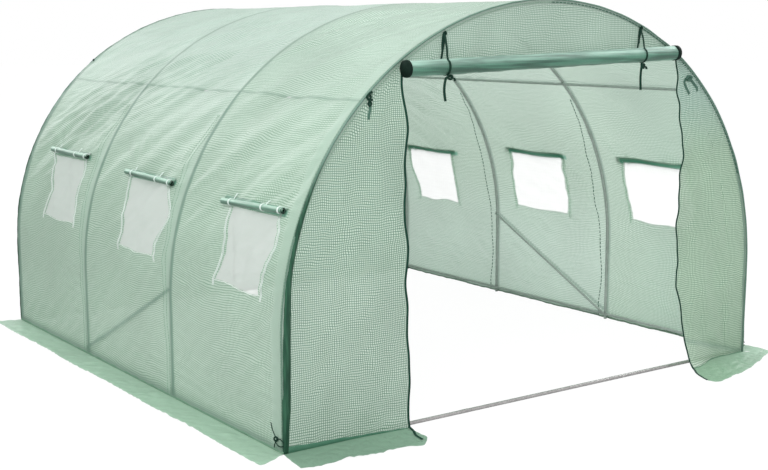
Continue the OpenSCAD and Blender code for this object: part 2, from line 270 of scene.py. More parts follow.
def sweep_object(name: str, sections: Array, closed: bool = True, capped: bool = True,
                 layers: dict[str, Array] | None = None) -> bpy.types.Object:
    """Joins a row of like cross-sections into one piece.

    Args:
        name: The piece's name.
        sections: Points by section, point of the section and coordinate.
        closed: Whether each section is a closed loop.
        capped: Whether the two ends are closed by a fan of faces.
        layers: Named values by section and point.

    Returns:
        The object, linked to the scene.
    """
    count, around = sections.shape[:2]
    points = sections.reshape(-1, 3)
    number = np.arange(count * around).reshape(count, around)
    nxt = np.roll(number, -1, axis=1) if closed else number[:, 1:]
    here = number if closed else number[:, :-1]
    quads = np.stack([here[:-1], nxt[:-1], nxt[1:], here[1:]], axis=-1).reshape(-1, 4)
    faces = quads.tolist()
    if closed and capped:
        faces += [number[0][::-1].tolist(), number[-1].tolist()]
    mesh = bpy.data.meshes.new(name)
    mesh.from_pydata(points.tolist(), [], faces)
    mesh.polygons.foreach_set("use_smooth", [True] * len(mesh.polygons))
    along = np.concatenate([[0.0], np.cumsum(np.linalg.norm(np.diff(sections.mean(axis=1), axis=0), axis=1))])
    step = np.linalg.norm(np.diff(sections[0], axis=0, append=sections[0][:1]), axis=1)
    around_length = np.concatenate([[0.0], np.cumsum(step)[:-1]])
    uv = np.stack(np.broadcast_arrays(along[:, None], around_length[None, :]), axis=-1).reshape(-1, 2)
    corners = np.empty(len(mesh.loops), dtype=np.int64)
    mesh.loops.foreach_get("vertex_index", corners)
    mesh.uv_layers.new(name="cloth").data.foreach_set("uv", uv[corners].astype(np.float32).ravel())
    for label, values in (layers or {}).items():
        mesh.attributes.new(label, "FLOAT", "POINT").data.foreach_set("value", values.ravel().astype(np.float32))
    mesh.update()
    made = bpy.data.objects.new(name, mesh)
    bpy.context.scene.collection.objects.link(made)
    return made


def joined(name: str, pieces: Sequence[bpy.types.Object]) -> bpy.types.Object:
    """Joins pieces into the first one and renames it."""
    with bpy.context.temp_override(active_object=pieces[0], selected_editable_objects=list(pieces)):
        bpy.ops.object.join()
    pieces[0].name = name
    return pieces[0]


def rounded_path(points: Sequence[Sequence[float]], step: float) -> Array:
    """Runs a smooth curve through points, in steps of about one length.

    Args:
        points: The points that the curve passes through.
        step: The length of a step.

    Returns:
        Points along the curve, one row each.
    """
    knots = np.asarray(points, dtype=float)
    ends = np.vstack([2 * knots[0] - knots[1], knots, 2 * knots[-1] - knots[-2]])
    found = []
    for a, b, c, d in zip(ends, ends[1:], ends[2:], ends[3:]):
        t = np.linspace(0, 1, max(2, math.ceil(np.linalg.norm(c - b) / step)), endpoint=False)[:, None]
        found.append(0.5 * (2 * b + (c - a) * t + (2 * a - 5 * b + 4 * c - d) * t**2
                            + (3 * b - a - 3 * c + d) * t**3))
    return np.vstack([*found, knots[-1:]])


def tape_object(name: str, path: Array, across: Array, width: Array | float, thickness: float,
                lift: Array | None = None) -> bpy.types.Object:
    """Makes a flat tape along a path.

    Args:
        name: The piece's name.
        path: Points along the tape's middle.
        across: Direction across the tape at each point, or one for all.
        width: The tape's width, or its width at each point.
        thickness: The tape's thickness.
        lift: Direction of the tape's face at each point. None works it out.

    Returns:
        The object, linked to the scene.
    """
    across = np.broadcast_to(across, path.shape)
    across = across / np.linalg.norm(across, axis=1, keepdims=True)
    if lift is None:
        lift = np.cross(np.gradient(path, axis=0), across)
    lift = np.broadcast_to(lift, path.shape)
    lift = lift / np.maximum(np.linalg.norm(lift, axis=1, keepdims=True), 1e-9)
    half = np.broadcast_to(np.asarray(width, dtype=float), (len(path),))[:, None] / 2
    bevel = thickness / 2
    corners = [(-1, 0, 0), (-1, bevel, -1), (1, -bevel, -1), (1, 0, 0), (1, -bevel, 1), (-1, bevel, 1)]
    sections = [path + across * (sign * half + inset) + lift * (face * thickness / 2)
                for sign, inset, face in corners]
    return sweep_object(name, np.stack(sections, axis=1))


def cord_object(name: str, path: Array, radius: Array | float, sides: int = 10) -> bpy.types.Object:
    """Makes a round cord along a path, with a frame carried along it so that it doesn't twist."""
    radii = np.broadcast_to(np.asarray(radius, dtype=float), (len(path),))
    tangents = np.gradient(path, axis=0)
    tangents /= np.linalg.norm(tangents, axis=1, keepdims=True)
    guide = np.cross(tangents[0], (0.31, 0.77, 0.55))
    rings = []
    angles = np.linspace(0, 2 * math.pi, sides, endpoint=False)[:, None]
    for point, tangent, r in zip(path, tangents, radii):
        guide = guide - tangent * (guide @ tangent)
        guide = guide / np.linalg.norm(guide)
        other = np.cross(tangent, guide)
        rings.append(point + r * (np.cos(angles) * guide + np.sin(angles) * other))
    return sweep_object(name, np.stack(rings))


# Finishes


class Recipe:
    """Builds the node tree of one material with short calls."""

    def __init__(self, name: str) -> None:
        """Starts an empty material of that name."""
        self.material = bpy.data.materials.new(name)
        self.material.use_nodes = True
        self.tree = self.material.node_tree
        self.tree.nodes.clear()
        self.output = self.tree.nodes.new("ShaderNodeOutputMaterial")

    def node(self, kind: str, inputs: dict | None = None, **settings: object) -> bpy.types.Node:
        """Adds a node.

        Args:
            kind: The node's type without its first words.
            inputs: Values or sockets for its inputs, by name or number.
            **settings: The node's own settings.

        Returns:
            The node.
        """
        made = self.tree.nodes.new("ShaderNode" + kind)
        for label, value in settings.items():
            setattr(made, label, value)
        for key, value in (inputs or {}).items():
            if isinstance(value, bpy.types.NodeSocket):
                self.tree.links.new(value, made.inputs[key])
            else:
                made.inputs[key].default_value = value
        return made

    def math(self, operation: str, *values: object) -> bpy.types.NodeSocket:
        """Works out one number from one to three others."""
        return self.node("Math", dict(enumerate(values)), operation=operation).outputs[0]

    def mix(self, share: object, first: object, second: object, blend: str = "MIX") -> bpy.types.NodeSocket:
        """Mixes two colours."""
        made = self.node("Mix", {0: share, 6: first, 7: second}, data_type="RGBA", blend_type=blend)
        return made.outputs[2]

    def step(self, value: object, low: float, high: float, start: float, end: float) -> bpy.types.NodeSocket:
        """Maps a value smoothly from one range to another."""
        made = self.node("MapRange", {"Value": value, "From Min": low, "From Max": high,
                                      "To Min": start, "To Max": end}, interpolation_type="SMOOTHSTEP")
        return made.outputs["Result"]

    def attribute(self, name: str) -> bpy.types.NodeSocket:
        """Reads a value that the piece's mesh carries."""
        return self.node("Attribute", attribute_name=name, attribute_type="GEOMETRY").outputs["Fac"]

    def noise(self, scale: float, detail: float = 2.0, stretch: Colour = (1.0, 1.0, 1.0)) -> bpy.types.NodeSocket:
        """Reads soft noise in the piece's own coordinates."""
        place = self.node("TexCoord").outputs["Object"]
        moved = self.node("Mapping", {"Vector": place, "Scale": stretch}).outputs["Vector"]
        made = self.node("TexNoise", {"Vector": moved, "Scale": scale, "Detail": detail})
        return made.outputs["Fac"]

    def finish(self, surface: bpy.types.NodeSocket) -> bpy.types.Material:
        """Links the surface and gives the material."""
        self.tree.links.new(surface, self.output.inputs["Surface"])
        return self.material


def rgba(colour: Colour) -> tuple[float, float, float, float]:
    """Adds full opacity to a colour."""
    return (*colour, 1.0)


@dataclass(frozen=True)
class FilmFinish:
    """Translucent sheet: a grid of strands sealed between two films."""

    name: str
    strand: Colour
    cell: Colour
    facing: Colour
    strand_clear: float = 0.02
    cell_clear: float = 0.09
    pitch: float = 0.0102
    strand_width: float = 0.0035
    roughness: float = 0.36
    glow: float = 0.46
    wash: float = 0.40
    shadow: Colour = (0.165, 0.305, 0.230)
    # Teal painted shadow of a rolled flap lying against the film
    behind: Colour = (0.09, 0.40, 0.26)
    crinkle: float = 0.0022
    crinkle_scale: float = 16.0
    grid_height: float = 0.0004
    pale_strand: Colour = (0.45, 0.62, 0.53)
    pale_cell: Colour = (0.82, 0.905, 0.86)
    pale_facing: Colour = (0.52, 0.67, 0.58)
    streaks: float = 0.0
    grain: Colour = (0.35, 7.0, 7.0)

    def make(self) -> bpy.types.Material:
        """Builds the material."""
        r = Recipe(self.name)
        cloth = r.node("UVMap", uv_map="cloth").outputs["UV"]
        split = r.node("SeparateXYZ", {0: cloth})
        lines = []
        for axis in ("X", "Y"):
            near = r.math("PINGPONG", split.outputs[axis], self.pitch / 2)
            lines.append(r.step(near, self.strand_width / 2 - 0.0006, self.strand_width / 2 + 0.0006, 1.0, 0.0))
        grid = r.math("MAXIMUM", *lines)
        knot = r.math("MULTIPLY", *lines)
        plain = r.attribute("facing")
        woven = r.math("MULTIPLY", grid, r.math("SUBTRACT", 1.0, r.math("MULTIPLY", plain, 0.75)))
        shade = r.step(r.noise(1.3, 3.0), 0.3, 0.7, 0.92, 1.06)
        # The pale layer is painted light: where it is high, paler colours stand in for light falling on the cover, the
        # end sheets and the rolls
        pale = r.attribute("pale")
        strand = r.mix(r.math("MULTIPLY", knot, 0.5), rgba(self.strand), rgba(tuple(c * 0.6 for c in self.strand)))
        strand = r.mix(pale, strand, rgba(self.pale_strand))
        colour = r.mix(woven, r.mix(pale, rgba(self.cell), rgba(self.pale_cell)), strand)
        colour = r.mix(plain, colour, r.mix(pale, rgba(self.facing), rgba(self.pale_facing)))
        # Painted shade: where a tube lies close behind the film the colour is mixed towards the shadow colour, and
        # where a rolled flap lies behind it towards a teal painted shadow of the roll
        painted_shade = r.attribute("painted_shade")
        colour = r.mix(painted_shade, colour, rgba(self.shadow))
        colour = r.mix(r.attribute("roll"), colour, rgba(self.behind))
        tint = r.node("CombineColor", {0: shade, 1: shade, 2: shade}).outputs[0]
        colour = r.mix(1.0, colour, tint, "MULTIPLY")
        height = r.math("MULTIPLY_ADD", r.noise(self.crinkle_scale, 4.0), self.crinkle,
                        r.math("MULTIPLY", grid, self.grid_height))
        # Streaks of lighter and darker colour along the roll are painted highlight and shade in bands; the same noise
        # also raises real bumps
        if self.streaks:
            run = r.noise(9.0, 4.0, self.grain)
            level = r.step(run, 0.32, 0.68, 1 - self.streaks, 1 + self.streaks)
            tone = r.node("CombineColor", {0: level, 1: level, 2: level}).outputs[0]
            colour = r.mix(1.0, colour, tone, "MULTIPLY")
            height = r.math("MULTIPLY_ADD", run, 0.004, height)
        normal = r.node("Bump", {"Height": height, "Distance": 1.0, "Strength": 0.9}).outputs["Normal"]
        skin = r.node("BsdfPrincipled", {"Base Color": colour, "Roughness": self.roughness,
                                         "Normal": normal, "Specular IOR Level": 0.45}).outputs[0]
        soft = r.mix(self.wash, colour, (0.64, 0.68, 0.655, 1.0))
        through = r.node("BsdfTranslucent", {"Color": soft, "Normal": normal}).outputs[0]
        body = r.node("MixShader", {0: self.glow, 1: skin, 2: through}).outputs[0]
        clear = r.math("SUBTRACT", self.cell_clear,
                       r.math("MULTIPLY", r.math("MAXIMUM", woven, plain), self.cell_clear - self.strand_clear))
        window = r.node("BsdfTransparent", {"Color": (0.84, 0.93, 0.88, 1.0)}).outputs[0]
        return r.finish(r.node("MixShader", {0: clear, 1: body, 2: window}).outputs[0])


@dataclass(frozen=True)
class ZincFinish:
    """Galvanised tube: dull metal with a faint spangle and pale weathered patches."""

    name: str
    light: Colour = (0.60, 0.645, 0.62)
    dark: Colour = (0.35, 0.385, 0.37)
    spangle_scale: float = 90.0
    metal: float = 0.65
    polish: float = 0.28

    def make(self) -> bpy.types.Material:
        """Builds the material."""
        r = Recipe(self.name)
        place = r.node("TexCoord").outputs["Object"]
        spangle = r.node("TexVoronoi", {"Vector": place, "Scale": self.spangle_scale}).outputs["Color"]
        grain = r.node("SeparateColor", {0: spangle}).outputs[0]
        patch = r.noise(7.0, 4.0)
        share = r.math("ADD", r.math("MULTIPLY", grain, 0.3), r.math("MULTIPLY", patch, 0.7))
        colour = r.mix(share, rgba(self.dark), rgba(self.light))
        rough = r.step(patch, 0.3, 0.7, self.polish, self.polish * 1.5)
        normal = r.node("Bump", {"Height": r.noise(240.0), "Distance": 0.0003, "Strength": 0.5}).outputs["Normal"]
        return r.finish(r.node("BsdfPrincipled", {"Base Color": colour, "Metallic": self.metal,
                                                  "Roughness": rough, "Normal": normal}).outputs[0])


@dataclass(frozen=True)
class TapeFinish:
    """Woven tape, cord or thread: fine ribs along its length and a matt surface."""

    name: str
    light: Colour
    dark: Colour
    rib: float = 0.0016
    roughness: float = 0.7
    glow: float = 0.0
    shine: float = 0.5

    def make(self) -> bpy.types.Material:
        """Builds the material."""
        r = Recipe(self.name)
        cloth = r.node("UVMap", uv_map="cloth").outputs["UV"]
        split = r.node("SeparateXYZ", {0: cloth})
        slant = r.math("ADD", split.outputs["X"], r.math("MULTIPLY", split.outputs["Y"], 0.6))
        rib = r.step(r.math("PINGPONG", slant, self.rib / 2), 0.0, self.rib / 2, 0.0, 1.0)
        share = r.math("ADD", r.math("MULTIPLY", rib, 0.45), r.math("MULTIPLY", r.noise(45.0, 3.0), 0.55))
        colour = r.mix(share, rgba(self.dark), rgba(self.light))
        normal = r.node("Bump", {"Height": rib, "Distance": 0.0003, "Strength": 0.8}).outputs["Normal"]
        skin = r.node("BsdfPrincipled", {"Base Color": colour, "Roughness": self.roughness,
                                         "Specular IOR Level": self.shine, "Normal": normal}).outputs[0]
        if not self.glow:
            return r.finish(skin)
        through = r.node("BsdfTranslucent", {"Color": colour}).outputs[0]
        return r.finish(r.node("MixShader", {0: self.glow, 1: skin, 2: through}).outputs[0])


@dataclass(frozen=True)
class BindingFinish:
    """Bound edge: dark tape low down, which gives way to pale hemmed sheet over the crown."""

    name: str
    dark: Colour = (0.011, 0.056, 0.031)
    mid: Colour = (0.028, 0.108, 0.060)
    pale: Colour = (0.13, 0.23, 0.18)

    def make(self) -> bpy.types.Material:
        """Builds the material."""
        r = Recipe(self.name)
        streak = r.step(r.noise(30.0, 4.0, (3.0, 3.0, 0.25)), 0.35, 0.7, 0.0, 1.0)
        tape = r.mix(streak, rgba(self.dark), rgba(self.mid))
        colour = r.mix(r.attribute("dark"), rgba(self.pale), tape)
        normal = r.node("Bump", {"Height": r.noise(60.0, 3.0), "Distance": 0.002, "Strength": 0.6}).outputs["Normal"]
        return r.finish(r.node("BsdfPrincipled", {"Base Color": colour, "Roughness": 0.5, "Normal": normal,
                                                  "Specular IOR Level": 0.25}).outputs[0])


@dataclass(frozen=True)
class ScreenFinish:
    """Fine white insect screen, see-through, with a faint coarser check in its weave."""

    name: str
    thread: Colour = (0.93, 0.935, 0.93)
    clear: float = 0.42
    check: float = 0.022

    def make(self) -> bpy.types.Material:
        """Builds the material."""
        r = Recipe(self.name)
        cloth = r.node("UVMap", uv_map="cloth").outputs["UV"]
        split = r.node("SeparateXYZ", {0: cloth})
        lines = [r.step(r.math("PINGPONG", split.outputs[axis], self.check / 2), 0.001, 0.003, 1.0, 0.0)
                 for axis in ("X", "Y")]
        check = r.math("MAXIMUM", *lines)
        colour = r.mix(r.math("MULTIPLY", check, 0.22), rgba(self.thread), (0.62, 0.68, 0.65, 1.0))
        normal = r.node("Bump", {"Height": r.noise(14.0, 3.0), "Distance": 0.006, "Strength": 0.6}).outputs["Normal"]
        skin = r.node("BsdfPrincipled", {"Base Color": colour, "Roughness": 0.6, "Normal": normal}).outputs[0]
        through = r.node("BsdfTranslucent", {"Color": colour, "Normal": normal}).outputs[0]
        body = r.node("MixShader", {0: 0.62, 1: skin, 2: through}).outputs[0]
        clear = r.math("SUBTRACT", self.clear, r.math("MULTIPLY", check, 0.05))
        window = r.node("BsdfTransparent").outputs[0]
        return r.finish(r.node("MixShader", {0: clear, 1: body, 2: window}).outputs[0])


@dataclass
class Finishes:
    """All finishes of the part, made once."""

    cover: bpy.types.Material = field(init=False)
    front: bpy.types.Material = field(init=False)
    flap: bpy.types.Material = field(init=False)
    roll: bpy.types.Material = field(init=False)
    flap_roll: bpy.types.Material = field(init=False)
    front_right: bpy.types.Material = field(init=False)
    ring: bpy.types.Material = field(init=False)
    zinc: bpy.types.Material = field(init=False)
    bar: bpy.types.Material = field(init=False)
    edge: bpy.types.Material = field(init=False)
    binding: bpy.types.Material = field(init=False)
    seam: bpy.types.Material = field(init=False)
    hem: bpy.types.Material = field(init=False)
    tie: bpy.types.Material = field(init=False)
    trim: bpy.types.Material = field(init=False)
    trim_far: bpy.types.Material = field(init=False)
    white: bpy.types.Material = field(init=False)
    tail: bpy.types.Material = field(init=False)
    thread: bpy.types.Material = field(init=False)
    core: bpy.types.Material = field(init=False)
    screen: bpy.types.Material = field(init=False)
    screen_far: bpy.types.Material = field(init=False)

    def __post_init__(self) -> None:
        """Makes the materials."""
        self.cover = FilmFinish("cover_film", (0.218, 0.392, 0.265), (0.747, 0.872, 0.775), (0.40, 0.562, 0.45)).make()
        front = FilmFinish("front_film", (0.150, 0.300, 0.205), (0.81, 0.92, 0.83), (0.42, 0.57, 0.47),
                           cell_clear=0.12, strand_width=0.0036)
        self.front = front.make()
        # A greener and paler copy of the front film, with slightly thinner strands, for the sheet right of the doorway:
        # its colours are painted light
        self.front_right = replace(front, name="front_film_right", strand=(0.165, 0.330, 0.195),
                                   cell=(0.80, 0.95, 0.79), strand_width=0.0034,
                                   pale_strand=(0.120, 0.290, 0.215), pale_cell=(0.81, 0.93, 0.87)).make()
        self.flap = FilmFinish("flap_film", (0.265, 0.445, 0.30), (0.335, 0.54, 0.37), (0.29, 0.485, 0.335),
                               cell_clear=0.04, glow=0.30, crinkle=0.004, pale_facing=(0.49, 0.70, 0.56),
                               pale_cell=(0.50, 0.71, 0.57), pale_strand=(0.44, 0.64, 0.51)).make()
        rolled = FilmFinish("rolled_film", (0.07, 0.19, 0.13), (0.09, 0.23, 0.16), (0.066, 0.185, 0.128),
                            strand_clear=0.0, cell_clear=0.0, glow=0.05, roughness=0.36, crinkle=0.0016,
                            crinkle_scale=26.0, pale_facing=(0.31, 0.465, 0.395), streaks=0.36)
        self.roll = rolled.make()
        self.flap_roll = replace(rolled, name="rolled_flap", facing=(0.066, 0.160, 0.110), streaks=0.24,
                                 pale_facing=(0.34, 0.53, 0.425), grain=(7.0, 0.35, 7.0)).make()
        self.zinc = ZincFinish("galvanised_tube").make()
        self.bar = ZincFinish("galvanised_bar", (0.62, 0.60, 0.60), (0.33, 0.32, 0.32), metal=0.80, polish=0.15).make()
        self.edge = BindingFinish("bound_edge").make()
        self.binding = TapeFinish("zip_tape", (0.016, 0.070, 0.045), (0.005, 0.030, 0.019), shine=0.15).make()
        self.seam = TapeFinish("seam_tape", (0.11, 0.27, 0.18), (0.06, 0.18, 0.115), glow=0.15, shine=0.2).make()
        self.hem = TapeFinish("hem_tape", (0.27, 0.46, 0.33), (0.21, 0.38, 0.265), glow=0.3, shine=0.2).make()
        self.tie = TapeFinish("tie_tape", (0.011, 0.046, 0.029), (0.004, 0.020, 0.013), shine=0.12).make()
        # One white tape in two copies that differ by painted light: the near one greyer and greener, the far one whiter
        # and more translucent so that it shades the film less
        self.trim = TapeFinish("white_tape", (0.72, 0.83, 0.77), (0.55, 0.68, 0.61), glow=0.50).make()
        self.trim_far = TapeFinish("white_tape_far", (0.93, 0.97, 0.94), (0.84, 0.92, 0.87), glow=0.88).make()
        self.ring = TapeFinish("white_band", (0.74, 0.84, 0.79), (0.60, 0.72, 0.66), glow=0.15).make()
        self.white = TapeFinish("white_thread", (0.95, 0.95, 0.95), (0.88, 0.90, 0.89)).make()
        # Muted green for ties that lie behind the film, laid on its outer face instead: painted shade standing in for
        # their shadow seen through it
        self.tail = TapeFinish("muted_tape_painted_shade", (0.085, 0.175, 0.13), (0.045, 0.11, 0.08), shine=0.2).make()
        self.thread = TapeFinish("sewing_thread", (0.07, 0.18, 0.13), (0.035, 0.11, 0.075)).make()
        # Near-black finish for the pieces in the rolls' ends: painted shade inside the rolls
        self.core = TapeFinish("roll_hollow_shade", (0.008, 0.022, 0.016), (0.003, 0.010, 0.007), shine=0.08).make()
        self.screen = ScreenFinish("insect_screen", thread=(0.945, 0.955, 0.948), clear=0.26).make()
        self.screen_far = ScreenFinish("insect_screen_far", thread=(0.96, 0.96, 0.96), clear=0.52).make()


def dress(piece: bpy.types.Object, material: bpy.types.Material,
          stands_for: Sequence[str] = ()) -> bpy.types.Object:
    """Gives a piece its finish and its place in the part.

    Args:
        piece: The finished piece.
        material: Its finish.
        stands_for: CAD nodes that the piece replaces.

    Returns:
        The piece.
    """
    piece.data.materials.clear()
    piece.data.materials.append(material)
    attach(piece, "root")
    if stands_for:
        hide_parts(*stands_for)
    log.info("%s: %d faces", piece.name, len(piece.data.polygons))
    return piece


# Windows


@dataclass(frozen=True)
class Window:
    """One screened window in a side wall, with its rolled-up flap."""

    name: str
    seed: int
    z_low: float
    z_high: float
    low_edge: tuple[float, ...]
    high_edge: tuple[float, ...]
    roll_low: tuple[float, float]
    roll_high: tuple[float, float]

    @property
    def y_low(self) -> float:
        """Mean place of the edge nearer the front."""
        return sum(self.low_edge) / len(self.low_edge)

    @property
    def y_high(self) -> float:
        """Mean place of the edge nearer the back."""
        return sum(self.high_edge) / len(self.high_edge)

    @property
    def roll_climb(self) -> float:
        """Length along the film from the ground to the roll's middle."""
        return (self.roll_low[1] + self.roll_high[1]) / 2

    @property
    def climb_low(self) -> float:
        """Length along the film from the ground to the window's lower edge."""
        return ARCH.climb_to(self.z_low)

    @property
    def climb_high(self) -> float:
        """Length along the film from the ground to the window's upper edge."""
        return ARCH.climb_to(self.z_high)

    def warp(self, climb: Array, y: Array) -> tuple[Array, Array]:
        """Moves nominal cloth coordinates near the window's edges, so that they wave.

        Args:
            climb: Lengths along the film up from the ground.
            y: Places along the tunnel.

        Returns:
            The moved lengths and places.
        """
        beside = smooth(climb, self.climb_low - 0.12, self.climb_low) \
            * (1 - smooth(climb, self.climb_high, self.climb_high + 0.12))
        moved = np.zeros(np.broadcast(climb, y).shape)
        share = np.clip((climb - self.climb_low) / (self.climb_high - self.climb_low), 0, 1)
        for edge, middle in ((self.low_edge, self.y_low), (self.high_edge, self.y_high)):
            bend = np.interp(share, np.linspace(0, 1, len(edge)), edge) - middle
            moved += np.exp(-(((y - middle) / 0.085) ** 2)) * beside * bend
        level = np.exp(-(((climb - self.climb_low) / 0.04) ** 2)) \
            * smooth(y, self.y_low - 0.07, self.y_low) * (1 - smooth(y, self.y_high, self.y_high + 0.07))
        sink = level * 0.0045 * Ripples(self.seed + 5, 3, 0.2, 0.5).at(y, 0 * y)
        return climb + sink, y + moved


@dataclass(frozen=True)
class Drape:
    """How far the film stands off the arch, inwards where it hangs free and outwards at folds."""

    side: Side
    windows: tuple[Window, ...]
    sag: float = 0.0095
    fold: float = 0.0034
    ray: float = 0.0060

    def at(self, climb: Array, y: Array) -> Array:
        """Gives the film's distance outwards from the arch at each point."""
        across = (y - HOOPS[0]) / BAY
        part = across - np.floor(across)
        free = np.sin(math.pi * part) ** 0.8 * smooth(y, HOOPS[0], HOOPS[0] + 0.04) \
            * (1 - smooth(y, HOOPS[-1] - 0.04, HOOPS[-1]))
        grip = smooth(free, 0.0, 0.45)
        low = smooth(climb, 0.0, 0.12)
        out = -self.sag * free * low
        lean = -0.6 if self.side is Side.LEFT else 0.5
        slack = 0.55 + 0.45 * Ripples(31, 5, 0.9, 2.4).at(y, climb)
        folds = Ripples(41 + self.side.value, 9, 0.055, 0.17, math.pi / 2 + lean, 0.28).at(y, climb)
        broad = Ripples(44 + self.side.value, 7, 0.16, 0.42, math.pi / 2 + lean, 0.35).at(y, climb)
        level = Ripples(47 + self.side.value, 6, 0.03, 0.07, math.pi / 2, 0.14).at(y, climb)
        high = smooth(climb, 0.55, 1.0)
        out += self.fold * folds * slack * grip * (0.35 + 0.65 * high) * low
        out += 0.0008 * level * grip * low * (1 - 0.5 * high)
        out += 0.0042 * broad * grip * (0.3 + 0.7 * high) * low
        for window in self.windows:
            for edge, way in ((window.y_low, -1), (window.y_high, 1)):
                dy, dc = (y - edge) * way, climb - window.climb_high - 0.03
                reach = np.hypot(dy, dc) + 1e-6
                turn = np.arctan2(dc, dy)
                fan = np.cos(11 * turn + window.seed) * np.exp(-((turn - 0.75) / 0.75) ** 2)
                out += self.ray * fan * smooth(reach, 0.04, 0.16) * np.exp(-reach / 0.24) * grip
        return out


def cover_points(climb: Array, y: Array, side: Side, drape: Drape, raised: float = 0.0) -> Array:
    """Places cloth coordinates on the draped film.

    Args:
        climb: Lengths along the film up from the ground.
        y: Places along the tunnel.
        side: The side of the tunnel.
        drape: The film's drape on that side.
        raised: Distance outwards from the film.

    Returns:
        Points, with the coordinates on the last axis.
    """
    climb, y = np.broadcast_arrays(np.asarray(climb, float), np.asarray(y, float))
    x, z, nx, nz = ARCH.at(climb, side.value)
    out = drape.at(climb, y) + raised
    return np.stack([x + nx * out, y, z + nz * out], axis=-1)


def outward(climb: Array, side: Side) -> Array:
    """Gives the film's outward direction at lengths up from the ground."""
    _, _, nx, nz = ARCH.at(np.asarray(climb, float), side.value)
    return np.stack([nx, np.zeros_like(nx), nz], axis=-1)


def facing_at(climb: Array, y: Array, side: Side) -> Array:
    """Says where the film is doubled and plain: along the front edge, and on the left beside the middle hoops."""
    edge = 1 - smooth(y - FRONT, 0.085, 0.10)
    band = np.zeros(np.broadcast(climb, y).shape)
    for hoop in HOOPS[1:3]:
        wide = 0.062 + 0.042 * smooth(climb, 0.3, 0.85) - 0.080 * smooth(climb, 1.10, 1.55)
        band = np.maximum(band, smooth(y, hoop - 0.014, hoop - 0.008)
                          * (1 - smooth(y - hoop, wide, wide + 0.006)) * (1 - smooth(climb, 1.1, 1.35)))
    return np.maximum(0.85 * edge, 0.8 * band * (side is Side.LEFT))


def pale_at(climb: Array, y: Array, side: Side) -> Array:
    """Says how much paler the cover is painted, as painted light: paler towards the ridge, where light from above
    falls, and on the right wall paler low down beyond the front bay.

    Args:
        climb: Lengths along the film up from the ground.
        y: Places along the tunnel.
        side: The side of the tunnel.

    Returns:
        Shares from 0 low down to 0.85 at the ridge, with less in the front bay.
    """
    front_bay = 1 - smooth(y, HOOPS[1] - 0.02, HOOPS[1] + 0.02)
    pale = 0.85 * smooth(climb, 0.95, 2.15) * (1 - 0.60 * front_bay)
    if side is Side.LEFT:
        return pale
    return 0.7 * pale + 0.55 * (1 - smooth(climb, 0.35, 0.95)) * (1 - front_bay)


def painted_shade_at(climb: Array, y: Array, side: Side) -> Array:
    """Says where shade is painted on the cover: along the hoops, rails and braces close behind it, round the hoops'
    feet on the left, in a band along the foot, and over the right wall's front bay.

    Args:
        climb: Lengths along the film up from the ground.
        y: Places along the tunnel.
        side: The side of the tunnel.

    Returns:
        Shares from 0 to 1.
    """
    painted_shade = np.zeros(np.broadcast(climb, y).shape)
    for hoop in HOOPS:
        middle = hoop - (0.011 if side is Side.LEFT else 0.0) * (1 - smooth(climb, 1.4, 2.0))
        wide = 0.018 if hoop == HOOPS[-1] and side is Side.LEFT else 0.0085
        painted_shade = np.maximum(painted_shade, 0.92 * (1 - smooth(np.abs(y - middle), wide, wide + 0.006)))
        plate = np.hypot(y - middle, 0.7 * (climb - 0.034))
        painted_shade = np.maximum(painted_shade, 0.75 * (1 - smooth(plate, 0.014, 0.032)) * (side is Side.LEFT))
    for rail in (RAIL_CLIMB, ARCH.reach):
        painted_shade = np.maximum(painted_shade, 0.62 * (1 - smooth(np.abs(climb - rail), 0.002, 0.009)))
    foot = 0.66 if side is Side.LEFT else 0.15
    painted_shade = np.maximum(painted_shade, foot * (1 - smooth(np.abs(climb - 0.016), 0.013, 0.024)))
    along = np.clip((climb - 0.045) / 0.505, 0, 1)
    start = HOOPS[2] if side is Side.LEFT else HOOPS[1]
    brace = start + side.value * (HOOPS[2] - HOOPS[1]) * along
    gap = np.abs(y - brace) * 0.433
    painted_shade = np.maximum(painted_shade, 0.85 * (1 - smooth(gap, 0.006, 0.0115)) * (climb < 0.556))
    if side is Side.RIGHT:
        painted_shade = np.maximum(painted_shade, 0.31 * (1 - smooth(y, -1.15, -0.55)))
    return painted_shade


